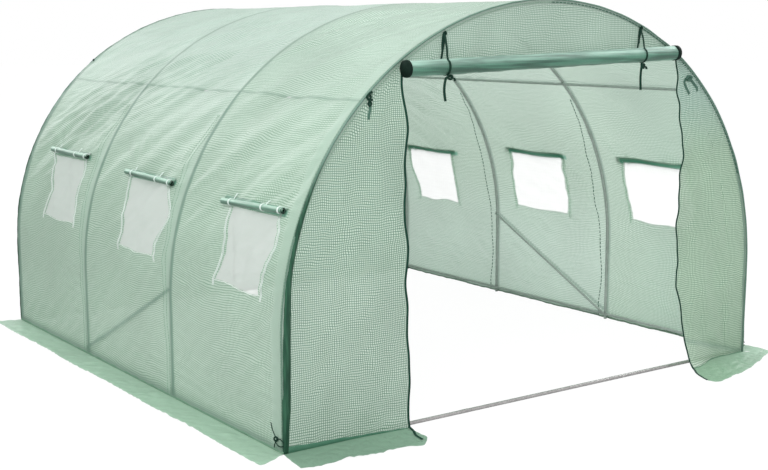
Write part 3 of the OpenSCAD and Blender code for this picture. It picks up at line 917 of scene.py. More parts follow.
@dataclass
class Cover:
    """The sheet over the hoops: two walls with windows, and the roof."""

    finishes: Finishes
    drapes: dict[Side, Drape]
    step: float = 0.0105
    foot: float = 0.004

    def cloth_uv(self, climb: Array, y: Array) -> Array:
        """Gives the weave's coordinates, which wander a little as real cloth does."""
        stray = 0.009 * Ripples(71, 7, 0.30, 1.2).at(y, climb)
        skew = 0.010 * Ripples(72, 7, 0.30, 1.2).at(y, climb)
        fine = 0.0017 * Ripples(73, 9, 0.055, 0.17).at(y, climb)
        return np.stack([y + stray - 0.6 * fine, climb + skew + fine], axis=-1)

    def wall(self, side: Side) -> bpy.types.Object:
        """Makes one side wall with its window openings."""
        drape = self.drapes[side]
        marks_y, marks_c = [FRONT, BACK, *HOOPS], [self.foot, RAIL_CLIMB]
        for window in drape.windows:
            marks_y += [window.y_low, window.y_high]
            marks_c += [window.climb_low, window.climb_high]
        ys, climbs = spaced(marks_y, self.step), spaced(marks_c, self.step)
        climb, y = np.meshgrid(climbs, ys, indexing="ij")
        mid_c, mid_y = (climbs[1:] + climbs[:-1]) / 2, (ys[1:] + ys[:-1]) / 2
        keep = np.ones((len(climbs) - 1, len(ys) - 1), dtype=bool)
        for window in drape.windows:
            keep &= ~(((mid_c > window.climb_low) & (mid_c < window.climb_high))[:, None]
                      & ((mid_y > window.y_low) & (mid_y < window.y_high))[None, :])
        for window in drape.windows:
            climb, y = window.warp(climb, y)
        points = cover_points(climb, y, side, drape)
        painted_shade, behind = painted_shade_at(climb, y, side), np.zeros(y.shape)
        # Painted shadow of each rolled flap where it lies against the film, in the roll layer
        for window in drape.windows:
            shift = 0.026 if side is Side.RIGHT else 0.0
            inside = smooth(y + shift, window.roll_low[0] - 0.004, window.roll_low[0] + 0.004) \
                * (1 - smooth(y + shift, window.roll_high[0] - 0.004, window.roll_high[0] + 0.004))
            behind = np.maximum(behind, inside * (1 - smooth(np.abs(climb - window.roll_climb), 0.010, 0.018)))
        name = side.name.lower()
        piece = grid_object(f"wall_sheet_{name}", points, self.cloth_uv(climb, y), keep,
                            flip=side is Side.RIGHT,
                            layers={"facing": facing_at(climb, y, side), "painted_shade": painted_shade,
                                    "pale": pale_at(climb, y, side), "roll": behind})
        dress(piece, self.finishes.cover,
              [f"cover_{name}_{bay}" for bay in ("front", "middle", "back")])
        return piece

    def roof(self) -> bpy.types.Object:
        """Makes the roof between the shoulder rails."""
        ys = spaced([FRONT, BACK, *HOOPS], 0.0122)
        half = spaced([RAIL_CLIMB, ARCH.reach], 0.0125)
        rows = []
        for side, climbs in ((Side.LEFT, half), (Side.RIGHT, half[::-1][1:])):
            climb, y = np.meshgrid(climbs, ys, indexing="ij")
            blend = smooth(climb, RAIL_CLIMB + 0.5, ARCH.reach)
            other = self.drapes[Side.RIGHT if side is Side.LEFT else Side.LEFT]
            x, z, nx, nz = ARCH.at(climb, side.value)
            own, far = self.drapes[side].at(climb, y), other.at(2 * ARCH.reach - climb, y)
            out = own * (1 - blend / 2) + far * blend / 2
            along = climb if side is Side.LEFT else 2 * ARCH.reach - climb
            # The right half gets less painted light away from the ridge
            rows.append((np.stack([x + nx * out, y, z + nz * out], axis=-1), self.cloth_uv(along, y),
                         0.6 * facing_at(climb, y, side), 0.8 * painted_shade_at(climb, y, side),
                         pale_at(climb, y, Side.LEFT) * (1 - 0.3 * (side is Side.RIGHT) * (1 - blend))))
        points, uv, facing, painted_shade, pale = (np.concatenate([row[n] for row in rows]) for n in range(5))
        piece = grid_object("roof_sheet", points, uv, layers={"facing": facing, "painted_shade": painted_shade, "pale": pale})
        dress(piece, self.finishes.cover,
              [f"cover_roof_{bay}" for bay in ("front", "middle", "back")])
        return piece


@dataclass
class EndSheets:
    """The flat sheets of the two ends, with the doorway's wavy edges."""

    finishes: Finishes
    step: float = 0.0115
    door_top: float = 1.655
    left_edge: tuple[tuple[float, float], ...] = (
        (0.0, -0.850), (0.05, -0.852), (0.10, -0.851), (0.22, -0.843), (0.455, -0.843), (0.66, -0.853),
        (0.825, -0.859), (1.274, -0.861), (1.42, -0.872), (1.604, -0.883), (1.76, -0.885))
    right_edge: tuple[tuple[float, float], ...] = (
        (0.0, 0.993), (0.03, 0.998), (0.078, 1.000), (0.126, 0.994), (0.197, 0.983), (0.27, 0.967), (0.336, 0.951),
        (0.395, 0.936), (0.449, 0.922), (0.487, 0.926), (0.66, 0.930), (0.913, 0.923), (1.15, 0.928),
        (1.32, 0.913), (1.409, 0.900), (1.471, 0.883), (1.543, 0.882), (1.636, 0.870), (1.76, 0.87))

    @property
    def zip_feet(self) -> dict[Side, tuple[tuple[float, float], ...]]:
        """Places on the ground where each zip runs on over its flap."""
        return {Side.LEFT: ((-0.872, -1.660), (-0.901, -1.718), (-0.911, -1.777)),
                Side.RIGHT: ((0.968, -1.710), (0.935, -1.750), (0.905, -1.803), (0.878, -1.868))}

    def edge_x(self, side: Side, z: Array) -> Array:
        """Gives the doorway edge's distance from the middle, signed, at each height."""
        marks = np.array(self.left_edge if side is Side.LEFT else self.right_edge)
        path = rounded_path(np.column_stack([marks, np.zeros(len(marks))]), 0.01)
        wander = 0.004 * smooth(z, 0.3, 0.6) * Ripples(81 + side.value, 4, 0.12, 0.4).at(z, 0 * z)
        return np.interp(z, path[:, 0], path[:, 1]) + wander

    def depth(self, x: Array, z: Array) -> Array:
        """Gives how far an end sheet stands out from flat, in soft upright folds."""
        pinned = smooth(ARCH.height_over(x) - z, 0.0, 0.25) * smooth(z, 0.0, 0.12)
        pinned = np.where(np.abs(x) > ARCH.reach_at(z) - 0.16, 0.25 * pinned, pinned)
        upright = Ripples(91, 6, 0.16, 0.5, 0.1, 0.35).at(x, z)
        cross = Ripples(92, 6, 0.10, 0.30).at(x, z)
        return pinned * (0.0042 * upright + 0.0016 * cross)

    def uv(self, x: Array, z: Array) -> Array:
        """Gives the weave's coordinates on an end sheet."""
        stray = 0.005 * Ripples(93, 6, 0.25, 0.9).at(x, z)
        fine = 0.0015 * Ripples(94, 9, 0.06, 0.18).at(x, z)
        return np.stack([x + stray + fine, z + 0.8 * stray[::-1] - fine], axis=-1)

    def front_y(self, side: Side, x: Array, z: Array) -> Array:
        """Gives the place along the tunnel of the front sheet beside the doorway.

        Args:
            side: The side of the doorway.
            x: Places across the tunnel.
            z: Heights.

        Returns:
            The places, in front of the front hoop.
        """
        from_door = np.abs(x - self.edge_x(side, z))
        near_door = 1 - smooth(from_door, 0.0, 0.34)
        foot_flare = np.exp(-z / 0.050) * (1 - smooth(from_door, 0.0, 0.30))
        flare = 0.070 if side is Side.RIGHT else 0.012
        curl = (1 - smooth(z, 0.0, 0.55)) * near_door * (0.022 if side is Side.RIGHT else 0.006)
        wave = 0.007 * near_door * Ripples(95 + side.value, 4, 0.25, 0.7).at(z, 0 * z) * smooth(z, 0, 0.15)
        return FRONT - self.depth(x, z) - curl - flare * foot_flare + wave * (1 - smooth(z, 1.45, 1.6))

    def beside_door(self, side: Side) -> bpy.types.Object:
        """Makes the front sheet on one side of the doorway."""
        top = 1.688
        zs = spaced([0.004, top], self.step)
        hem = np.array([0.0, 0.004, 0.008, 0.0123, 0.0165, 0.021, 0.026, 0.033])
        column, z = np.meshgrid(np.arange(len(hem) + 62), zs)
        edge = self.edge_x(side, z)
        width = np.maximum(ARCH.reach_at(z) - np.abs(edge), 0.001)
        inset = np.where(column < len(hem), hem[np.minimum(column, len(hem) - 1)],
                         hem[-1] + (width - 0.048 - hem[-1]) * (column - len(hem) + 1) / 50)
        inset = np.where(column > 57, width - 0.004 * (69 - column), inset)
        inset = np.where(width < 0.15, width * column / column.max(), inset)
        share = inset / width
        x = edge + side.value * width * (1 - share)
        points = np.stack([x, self.front_y(side, x, z), z], axis=-1)
        name = side.name.lower()
        gap = ARCH.reach_at(z) - np.abs(x)
        plain = np.maximum(1 - smooth(gap, 0.020, 0.026), 1 - smooth(np.abs(x - edge), 0.010, 0.016)) * 0.6
        # Painted shade along the front hoop close behind the sheet's outer edge
        painted_shade = 0.15 * (1 - smooth(np.abs(gap - 0.0123), 0.005, 0.0105))
        if side is Side.RIGHT:
            # Painted shade where the hoop's leg and the side's base rail show through
            leg = 0.0123 + 0.010 * smooth(z, 0.05, 0.5) * (1 - smooth(z, 0.8, 1.3))
            painted_shade = 0.75 * (1 - smooth(np.abs(gap - leg), 0.006, 0.0105))
            rail = np.abs(z - 0.014 - (1.49 - x) * 0.27) * (x > 0.98)
            painted_shade = np.maximum(painted_shade, 0.45 * (1 - smooth(rail, 0.008, 0.020)) * (z < 0.16))
        # On the right the sheet is painted paler high up: painted light
        piece = grid_object(f"front_sheet_{name}", points, self.uv(x, z), flip=side is Side.RIGHT,
                            layers={"facing": plain, "painted_shade": painted_shade, "pale": smooth(z, 1.1, 1.5) * (side is Side.RIGHT)})
        finish = self.finishes.front if side is Side.LEFT else self.finishes.front_right
        dress(piece, finish, [f"front_panel_{name}"])
        return piece

    def over_door(self) -> bpy.types.Object:
        """Makes the front sheet over the doorway, down to the roll."""
        xs = spaced([-0.884, 0.892], self.step)
        row, x = np.meshgrid(np.arange(31), xs)
        high = ARCH.height_over(x) - 0.0005
        low = self.door_top + 0.018 * x
        share = np.where(row < 24, row / 24 * (1 - 0.036 / (high - low)), 1 - (30 - row) * 0.006 / (high - low))
        share = np.where(high - low < 0.09, row / 30, share)
        z = low + (high - low) * share
        points = np.stack([x, FRONT - self.depth(x, z), z], axis=-1)
        lean = np.cos(np.arcsin(np.clip(np.abs(x) / (ARCH.crown_radius + ARCH.film_offset), 0, 1)))
        gap = (high - z) * lean
        plain = (1 - smooth(gap, 0.020, 0.026)) * 0.6
        # Painted shade along the front hoop close behind the sheet, stronger to the right
        painted_shade = (0.10 + 0.6 * smooth(x, 0.25, 0.65)) * (1 - smooth(np.abs(gap - 0.0123), 0.005, 0.0105))
        # The whole sheet is painted a little paler: painted light
        piece = grid_object("front_sheet_top", points, self.uv(x, z), flip=True,
                            layers={"facing": plain, "painted_shade": painted_shade, "pale": np.full(x.shape, 0.35)})
        dress(piece, self.finishes.front, ["front_panel_top"])
        return piece

    def back(self) -> bpy.types.Object:
        """Makes the plain sheet of the back end."""
        u = np.linspace(-1, 1, 250)
        x_row = (0.45 * u + 0.55 * np.sin(u * math.pi / 2)) * (ARCH.half_width + ARCH.film_offset)
        share, x = np.meshgrid(np.linspace(0, 1, 150), x_row)
        high = np.where(np.abs(x) > 1.5122, ARCH.leg_height, ARCH.height_over(x) - 0.0005)
        z = 0.004 + (high - 0.004) * share
        points = np.stack([x, BACK + self.depth(x, z), z], axis=-1)
        plain = (1 - smooth(high - z, 0.010, 0.020)) * 0.8
        piece = grid_object("back_sheet", points, self.uv(x, z), layers={"facing": plain})
        dress(piece, self.finishes.front, ["back_panel"])
        return piece


@dataclass
class GroundFlaps:
    """The flaps of plain sheet that lie on the ground round the tunnel."""

    finishes: Finishes
    ends: EndSheets

    def lay(self, name: str, inner: Array, outer: Array, seed: int, node: str, flip: bool,
            rows: int = 22, ragged: float = 0.0006, fade: tuple[float, float] = (0.0, 0.0),
            dim: float = 0.0) -> bpy.types.Object:
        """Lays a flap between two lines.

        Args:
            name: The piece's name.
            inner: Points along the seam at the sheet's foot.
            outer: As many points along the free edge.
            seed: Choice of its wrinkles.
            node: The CAD node that it stands for.
            flip: Whether to turn its faces over.
            rows: Rows of faces from seam to free edge.
            ragged: How far the free edge strays.
            fade: How pale it is at its first and last column.
            dim: How dark it is.

        Returns:
            The piece.
        """
        t = np.linspace(0, 1, rows)[:, None, None]
        stray = ragged * Ripples(seed, 8, 0.05, 0.30).at(outer[:, 0], outer[:, 1])
        away = outer - inner
        away = away / np.maximum(np.linalg.norm(away, axis=1, keepdims=True), 1e-6)
        outer = outer + away * stray[:, None]
        points = inner[None] * (1 - t) + outer[None] * t
        x, y, lift = points[..., 0], points[..., 1], t[..., 0]
        wrinkle = np.abs(Ripples(seed + 1, 9, 0.05, 0.22).at(x, y))
        curl = smooth(lift, 0.75, 1.0) * np.clip(Ripples(seed + 2, 6, 0.12, 0.5).at(x, y), 0, 2)
        seam = 1 - smooth(lift, 0.0, 0.18)
        points[..., 2] = 0.0015 + 0.0022 * wrinkle * (1 - seam) + (0.0002 + 1.6 * ragged) * curl + 0.003 * seam
        columns = np.linspace(0, 1, x.shape[1])[None, :] + 0 * x
        piece = grid_object(name, points, np.stack([x, y], axis=-1), flip=flip,
                            layers={"facing": np.maximum(0.55 + 0 * x, smooth(lift + 0 * x, 0.90, 0.93)),
                                    "pale": fade[0] + (fade[1] - fade[0]) * columns, "painted_shade": dim + 0 * x})
        dress(piece, self.finishes.flap, [node])
        return piece

    def beside(self, side: Side) -> bpy.types.Object:
        """Lays the flap along one side."""
        y = np.linspace(FRONT, BACK, 300)
        foot = ARCH.half_width + ARCH.film_offset
        inner = np.column_stack([np.full_like(y, side.value * foot), y, 0 * y])
        share = (y - FRONT) / (BACK - FRONT)
        start, end = (FRONT - 0.065, BACK + 0.05) if side is Side.LEFT else (FRONT - 0.073, BACK + 0.05)
        edge = start + (end - start) * share
        reach = 0.148 + 0.004 * np.sin(7 * y + side.value)
        outer = np.column_stack([side.value * (foot + reach), edge, 0 * y])
        name = side.name.lower()
        return self.lay(f"flap_sheet_{name}", inner, outer, 110 + side.value, f"ground_flap_{name}",
                        side is Side.LEFT, fade=(0.46, 0.66))

    def before(self, side: Side) -> bpy.types.Object:
        """Lays the flap in front of one front sheet."""
        if side is Side.LEFT:
            foot = ((-1.5123, FRONT), (-0.850, FRONT))
            free = ((-1.545, -1.778), (-1.46, -1.795), (-1.33, -1.790), (-1.22, -1.812), (-1.08, -1.806),
                    (-0.990, -1.820), (-0.948, -1.842), (-0.905, -1.800), (-0.868, -1.757))
        else:
            foot = ((1.5123, FRONT), (0.993, FRONT))
            free = ((1.655, -1.662), (1.500, -1.740), (1.395, -1.786), (1.280, -1.828), (1.162, -1.863), (1.04, -1.897),
                    (0.925, -1.924), (0.878, -1.874))
        path = rounded_path([(*p, 0.0) for p in free], 0.005)
        run = np.concatenate([[0], np.cumsum(np.linalg.norm(np.diff(path, axis=0), axis=1))])
        u = np.linspace(0, 1, 120)
        outer = np.column_stack([np.interp(u * run[-1], run, path[:, n]) for n in range(3)])
        inner = np.column_stack([foot[0][n] + (foot[1][n] - foot[0][n]) * u for n in (0, 1)] + [0 * u])
        inner[:, 1] = self.ends.front_y(side, inner[:, 0], 0.004 + inner[:, 2])
        name = side.name.lower()
        # The front-left flap is painted darker in the painted shade layer
        return self.lay(f"flap_sheet_front_{name}", inner, outer, 120 + side.value,
                        f"ground_flap_front_{name}", side is Side.LEFT, rows=30, ragged=0.0016,
                        fade=(0.0, 0.0) if side is Side.LEFT else (0.50, -0.15), dim=0.48 * (side is Side.LEFT))

    def behind(self) -> bpy.types.Object:
        """Lays the flap along the back end."""
        x = np.linspace(-1.5123, 1.5123, 280)
        inner = np.column_stack([x, np.full_like(x, BACK), 0 * x])
        outer = np.column_stack([x * (0.985 - 0.045 * (x < 0)), BACK + 0.216 + 0.006 * np.sin(5 * x), 0 * x])
        return self.lay("flap_sheet_back", inner, outer, 130, "ground_flap_back", False)


# Rolls and ties


def spiral_roll(name: str, start: Array, end: Array, inner: float, outer: float, turns: float,
                seed: int, out: Array, sections: int, lump: float) -> bpy.types.Object:
    """Rolls a sheet into a spiral round an axis.

    Args:
        name: The piece's name.
        start: One end of the axis.
        end: The other end.
        inner: Radius of the innermost turn.
        outer: Radius of the outermost turn.
        turns: Number of turns.
        seed: Choice of its unevenness.
        out: Direction in which the sheet leaves the roll.
        sections: Steps along the axis.
        lump: How far the surface strays from round.

    Returns:
        The object, linked to the scene.
    """
    axis = (end - start) / np.linalg.norm(end - start)
    first = out - axis * (out @ axis)
    first = first / np.linalg.norm(first)
    second = np.cross(axis, first)
    angle = np.linspace(0, 2 * math.pi * turns, int(28 * turns))
    radius = inner + (outer - inner) * angle / angle[-1]
    share = np.linspace(0, 1, sections)
    length = np.linalg.norm(end - start)
    place, turn = np.meshgrid(share * length, angle, indexing="ij")
    uneven = lump * Ripples(seed, 7, 0.08, 0.5).at(place, np.cos(turn - angle[-1]) * outer * 3)
    uneven = uneven * (np.meshgrid(share, radius, indexing="ij")[1] / outer) ** 2
    # The ends of the inner turns lie a little deeper or further out than the rest
    slip = 0.0025 * Ripples(seed + 1, 5, 0.3, 1.1).at(angle / (2 * math.pi), 0 * angle)
    settle = np.where(share[:, None] < 0.5, -1.0, 1.0) * slip[None, :] * np.abs(2 * share[:, None] - 1) ** 8
    r = radius[None, :] + uneven
    way = np.cos(turn - angle[-1])[..., None] * first + np.sin(turn - angle[-1])[..., None] * second
    points = start + axis * (place + settle)[..., None] + r[..., None] * way
    around = np.concatenate([[0], np.cumsum(np.diff(angle) * radius[1:])])
    uv = np.stack(np.meshgrid(share * length, around, indexing="ij"), axis=-1)
    rise = way[..., 2]
    # Painted light: the roll is painted paler on top, where light falls from above, and a little paler underneath,
    # where light comes back up from the floor; less of it towards the roll's start
    painted_light = smooth(rise, -0.22, 0.92) + 0.32 * smooth(-rise, 0.50, 0.95)
    painted_light *= 0.76 + 0.24 * share[:, None]
    return grid_object(name, points, uv, layers={"facing": np.full(place.shape, 1.0), "pale": painted_light})


def disc_object(name: str, centre: Array, axis: Array, radius: float, depth: float) -> bpy.types.Object:
    """Makes a short closed plug that fills the middle of a roll; dressed near-black, it stands in for the shade inside
    the roll.
    """
    axis = axis / np.linalg.norm(axis)
    path = np.array([centre - axis * depth, centre - axis * depth * 0.5, centre])
    return cord_object(name, path, np.array([radius, radius, radius * 0.98]), 32)


@dataclass
class DoorRoll:
    """The door, rolled up above the doorway and held by two tied tapes."""

    finishes: Finishes
    left: tuple[float, float, float] = (-0.8965, -1.6300, 1.631)
    right: tuple[float, float, float] = (0.8165, -1.6300, 1.6835)
    radius: float = 0.0370
    tie_places: tuple[tuple[float, float], ...] = ((-0.655, -0.682), (0.597, 0.566))

    def roll(self) -> bpy.types.Object:
        """Makes the rolled door."""
        start, end = np.array(self.left), np.array(self.right)
        piece = spiral_roll("door_sheet_rolled", start, end, 0.007, self.radius, 10.5, 141,
                            np.array([0.0, 1.0, 0.25]), 70, 0.0012)
        dress(piece, self.finishes.roll, ["door_roll"])
        return piece

    def hollow_shades(self) -> bpy.types.Object:
        """Makes the near-black piece over each end of the roll, which stands in for the shade inside it: painted shade.
        """
        start, end = np.array(self.left), np.array(self.right)
        axis = (end - start) / np.linalg.norm(end - start)
        plugs = [disc_object("end_shade_a", start - axis * 0.0068, -axis, self.radius + 0.0014, 0.015),
                 disc_object("end_shade_b", end + axis * 0.0068, axis, self.radius + 0.0014, 0.026)]
        return dress(joined("door_roll_hollows", plugs), self.finishes.core)

    def centre(self, x: float) -> Array:
        """Gives the roll's axis over a place across the tunnel."""
        start, end = np.array(self.left), np.array(self.right)
        return start + (end - start) * (x - start[0]) / (end[0] - start[0])

    def tapes(self) -> bpy.types.Object:
        """Makes the two tapes, with their knots and hanging ends."""
        parts = []
        for number, (top_x, roll_x) in enumerate(self.tie_places):
            centre = self.centre(roll_x)
            top = np.array([top_x, FRONT - 0.003, float(ARCH.height_over(np.array(top_x))) - 0.016])
            r = self.radius + 0.0022
            turn = np.radians([118, 140, 165, 190, 215, 240, 262])
            front = [centre + r * np.array([0, np.cos(a), np.sin(a)]) for a in turn]
            path = rounded_path([top, top * 0.45 + front[0] * 0.55 + np.array([0, -0.003, 0]), *front], 0.006)
            parts.append(tape_object("tape", path, (1, 0, 0), 0.0125, 0.0020))
            knot = front[-1] + (np.array([0.013, -0.018, -0.008]) if number == 0 else np.array([-0.014, -0.018, -0.015]))
            rear = [centre + r * np.array([0, np.cos(a), np.sin(a)]) for a in np.radians([40, 10, -25, -60, -88])]
            path = rounded_path([top + np.array([0.006, 0.0005, 0]), *rear], 0.008)
            parts.append(tape_object("tape", path, (1, 0, 0), 0.0125, 0.0016))
            way = -1 if number == 0 else -0.55
            loop = [knot + np.array(p) for p in ((0, 0.006, 0.004), (way * 0.012, 0, 0.010), (way * 0.020, -0.006, 0.0),
                                                (way * 0.010, -0.009, -0.008), (0.004, -0.004, -0.004),
                                                (0.010, 0.002, 0.006), (0, 0.006, 0.008))]
            parts.append(cord_object("knot", rounded_path(loop, 0.003), 0.0050 + 0.0022 * number, 8))
            tail = [knot + np.array(p) for p in ((0.002, -0.006, 0.002), (way * 0.028, -0.010, 0.004),
                                                (way * 0.040, -0.011, -0.020), (way * 0.043, -0.010, -0.060),
                                                (way * 0.036, -0.010, -0.104 - 0.014 * number))]
            parts.append(tape_object("tail", rounded_path(tail, 0.005), (0.85, -0.52, 0.05), 0.0120, 0.0022))
            short = [knot + np.array(p) for p in ((0, -0.003, 0.0), (0.012, -0.010, -0.004), (0.017, -0.011, -0.016))]
            parts.append(tape_object("tail", rounded_path(short, 0.004), (0.5, -0.85, 0.1), 0.0110, 0.0020))
            spare = [top + np.array(p) for p in ((-0.004, -0.002, 0.002), (-0.012, -0.004, -0.02),
                                                (-0.014, -0.003, -0.055), (-0.013, -0.003, -0.078))]
            parts.append(tape_object("tail", rounded_path(spare, 0.006), (0.85, -0.52, 0), 0.0095, 0.0016))
            lump = [top + np.array(p) for p in ((-0.008, -0.003, -0.004), (0, -0.006, 0.006), (0.008, -0.003, -0.004),
                                               (0, -0.002, -0.010), (-0.007, -0.004, 0.0))]
            parts.append(cord_object("knot", rounded_path(lump, 0.003), 0.0034, 8))
        return dress(joined("door_tapes", parts), self.finishes.tie, ["door_ties"])


@dataclass
class WindowDress:
    """The screens, trims, rolled flaps and ties of the windows on one side."""

    finishes: Finishes
    side: Side
    drape: Drape
    roll_radius: float = 0.0148

    def screen(self, window: Window) -> bpy.types.Object:
        """Makes one window's insect screen."""
        lap = 0.008
        climbs = spaced([window.climb_low - lap, window.climb_high + lap], 0.012)
        ys = spaced([window.y_low - lap, window.y_high + lap], 0.012)
        climb, y = np.meshgrid(climbs, ys, indexing="ij")
        climb, y = window.warp(climb, y)
        points = cover_points(climb, y, self.side, self.drape, -0.0015)
        middle = np.sin(math.pi * (climbs - climbs[0]) / (climbs[-1] - climbs[0]))[:, None] \
            * np.sin(math.pi * (ys - ys[0]) / (ys[-1] - ys[0]))[None, :]
        belly = middle * (0.0035 * Ripples(window.seed + 9, 6, 0.1, 0.35).at(y, climb) - 0.002)
        points += outward(climb, self.side) * belly[..., None]
        piece = grid_object(f"screen_{window.name}", points, np.stack([y, climb], axis=-1),
                            flip=self.side is Side.RIGHT)
        node = f"window_screens_{self.side.name.lower()}"
        finish = self.finishes.screen if self.side is Side.LEFT else self.finishes.screen_far
        dress(piece, finish, [node])
        return piece

    def edge(self, window: Window, where: str) -> tuple[Array, Array]:
        """Follows one edge of a window.

        Args:
            window: The window.
            where: "near", "far" or "foot".

        Returns:
            Cloth lengths and places along the edge.
        """
        if where == "foot":
            y = np.linspace(window.y_low - 0.006, window.y_high + 0.006, 60)
            climb = np.full_like(y, window.climb_low - 0.003)
        else:
            climb = np.linspace(window.climb_low - 0.024, window.climb_high + 0.012, 60)
            y = np.full_like(climb, window.y_low - 0.021 if where == "near" else window.y_high + 0.021)
        return window.warp(climb, y)

    def trims(self) -> bpy.types.Object:
        """Makes the white tapes sewn round the screens."""
        parts = []
        for window in self.drape.windows:
            for where, width in (("near", 0.015), ("far", 0.015)):
                climb, y = self.edge(window, where)
                path = cover_points(climb, y, self.side, self.drape, 0.0010)
                lift = outward(climb, self.side)
                across = np.cross(lift, np.gradient(path, axis=0))
                parts.append(tape_object("trim", path, across, width, 0.0012, lift))
        finish = self.finishes.trim if self.side is Side.LEFT else self.finishes.trim_far
        return dress(joined(f"screen_trims_{self.side.name.lower()}", parts), finish)

    def axis(self, window: Window, raised: float) -> tuple[Array, Array, Array]:
        """Gives the two ends of a flap's roll, and the outward direction there."""
        ends = [cover_points(np.array(climb), np.array(y), self.side, self.drape) for y, climb in
                (window.roll_low, window.roll_high)]
        middle = cover_points(np.array(window.roll_climb), np.array((window.roll_low[0] + window.roll_high[0]) / 2),
                              self.side, self.drape)
        out = outward(np.array(window.roll_climb), self.side)
        shift = max(0.0, float((middle - (ends[0] + ends[1]) / 2) @ out)) + raised
        return ends[0] + out * shift, ends[1] + out * shift, out

    def roll(self, window: Window) -> list[bpy.types.Object]:
        """Makes one rolled flap and the strip that it hangs from."""
        name = self.side.name.lower()
        node = f"window_rolls_{name}"
        start, end, out = self.axis(window, self.roll_radius + 0.006)
        piece = spiral_roll(f"flap_roll_{window.name}", start, end, 0.0035, self.roll_radius, 6.5, window.seed + 20,
                            np.array([0.0, 0.0, 1.0]), 40, 0.0009)
        dress(piece, self.finishes.flap_roll, [node])
        climb = window.roll_climb
        shares = np.linspace(0, 1, 40)[:, None]
        line = start + (end - start) * shares
        up = np.cross(out, (0, 1, 0)) * -self.side.value
        up = up / np.linalg.norm(up)
        seam = cover_points(np.full(40, climb + 0.025), line[:, 1], self.side, self.drape, 0.001)
        ripple = Ripples(window.seed + 30, 5, 0.08, 0.3).at(line[:, 1], 0 * line[:, 1])[:, None]
        rows = [seam, seam + out * (0.010 + 0.0015 * ripple) - up * 0.003,
                line + up * (self.roll_radius * 0.95 + 0.003 + 0.001 * ripple) - out * 0.006,
                line + up * (self.roll_radius * 0.98) + out * 0.004]
        t = np.linspace(0, 1, 9)[:, None, None]
        a, b, c, d = (row[None] for row in rows)
        points = a * (1 - t) ** 3 + 3 * b * t * (1 - t) ** 2 + 3 * c * t**2 * (1 - t) + d * t**3
        uv = np.stack(np.broadcast_arrays(line[None, :, 1], 0.04 * t[..., 0]), axis=-1)
        strip = grid_object(f"flap_hang_{window.name}", points, uv, flip=self.side is Side.LEFT,
                            layers={"facing": np.full(points.shape[:2], 1.0), "pale": 0.12 * np.ones(points.shape[:2])})
        dress(strip, self.finishes.flap_roll)
        return [piece, strip]

    def ties(self) -> bpy.types.Object:
        """Makes the white tapes and end rings round the rolled flaps."""
        parts, plugs = [], []
        for window in self.drape.windows:
            start, end, out = self.axis(window, self.roll_radius + 0.006)
            along = (end - start) / np.linalg.norm(end - start)
            up = np.cross(along, out)
            angles = np.linspace(0, 2 * math.pi, 33)[:-1]
            for share, wide, grow in ((0.050, 0.013, 0.0016), (0.315, 0.012, 0.0019), (0.85, 0.012, 0.0019)):
                centre = start + (end - start) * share
                ring = []
                for inset, grown in ((-1, 0.0), (-0.8, 1.0), (0.8, 1.0), (1, 0.0)):
                    r = self.roll_radius + 0.0008 + grow * grown
                    ring.append(centre + along * (wide / 2 * inset)
                                + r * (np.cos(angles)[:, None] * out + np.sin(angles)[:, None] * up))
                parts.append(sweep_object("ring", np.stack(ring), capped=False))
                if share > 0.1:
                    foot = centre - out * (self.roll_radius + 0.002)
                    tack = cover_points(np.array(window.roll_climb + 0.042), np.array(centre[1]), self.side, self.drape, 0.003)
                    path = rounded_path([foot, centre + up * (self.roll_radius + 0.003) - out * 0.010, tack + out * 0.003, tack],
                                        0.004)
                    parts.append(tape_object("tack", path, along, 0.0095, 0.0012))
            # Near-black pieces in the roll's two ends stand in for the shade inside it: painted shade
            for centre, way in ((start, -along), (end, along)):
                plugs.append(disc_object("core", centre - way * 0.0025, way, self.roll_radius * 0.86, 0.01))
        name = self.side.name.lower()
        dress(joined(f"flap_roll_hollows_{name}", plugs), self.finishes.core)
        return dress(joined(f"roll_ties_{name}", parts), self.finishes.ring,
                     [f"window_ties_{name}"])


# Bindings, zips and small ties


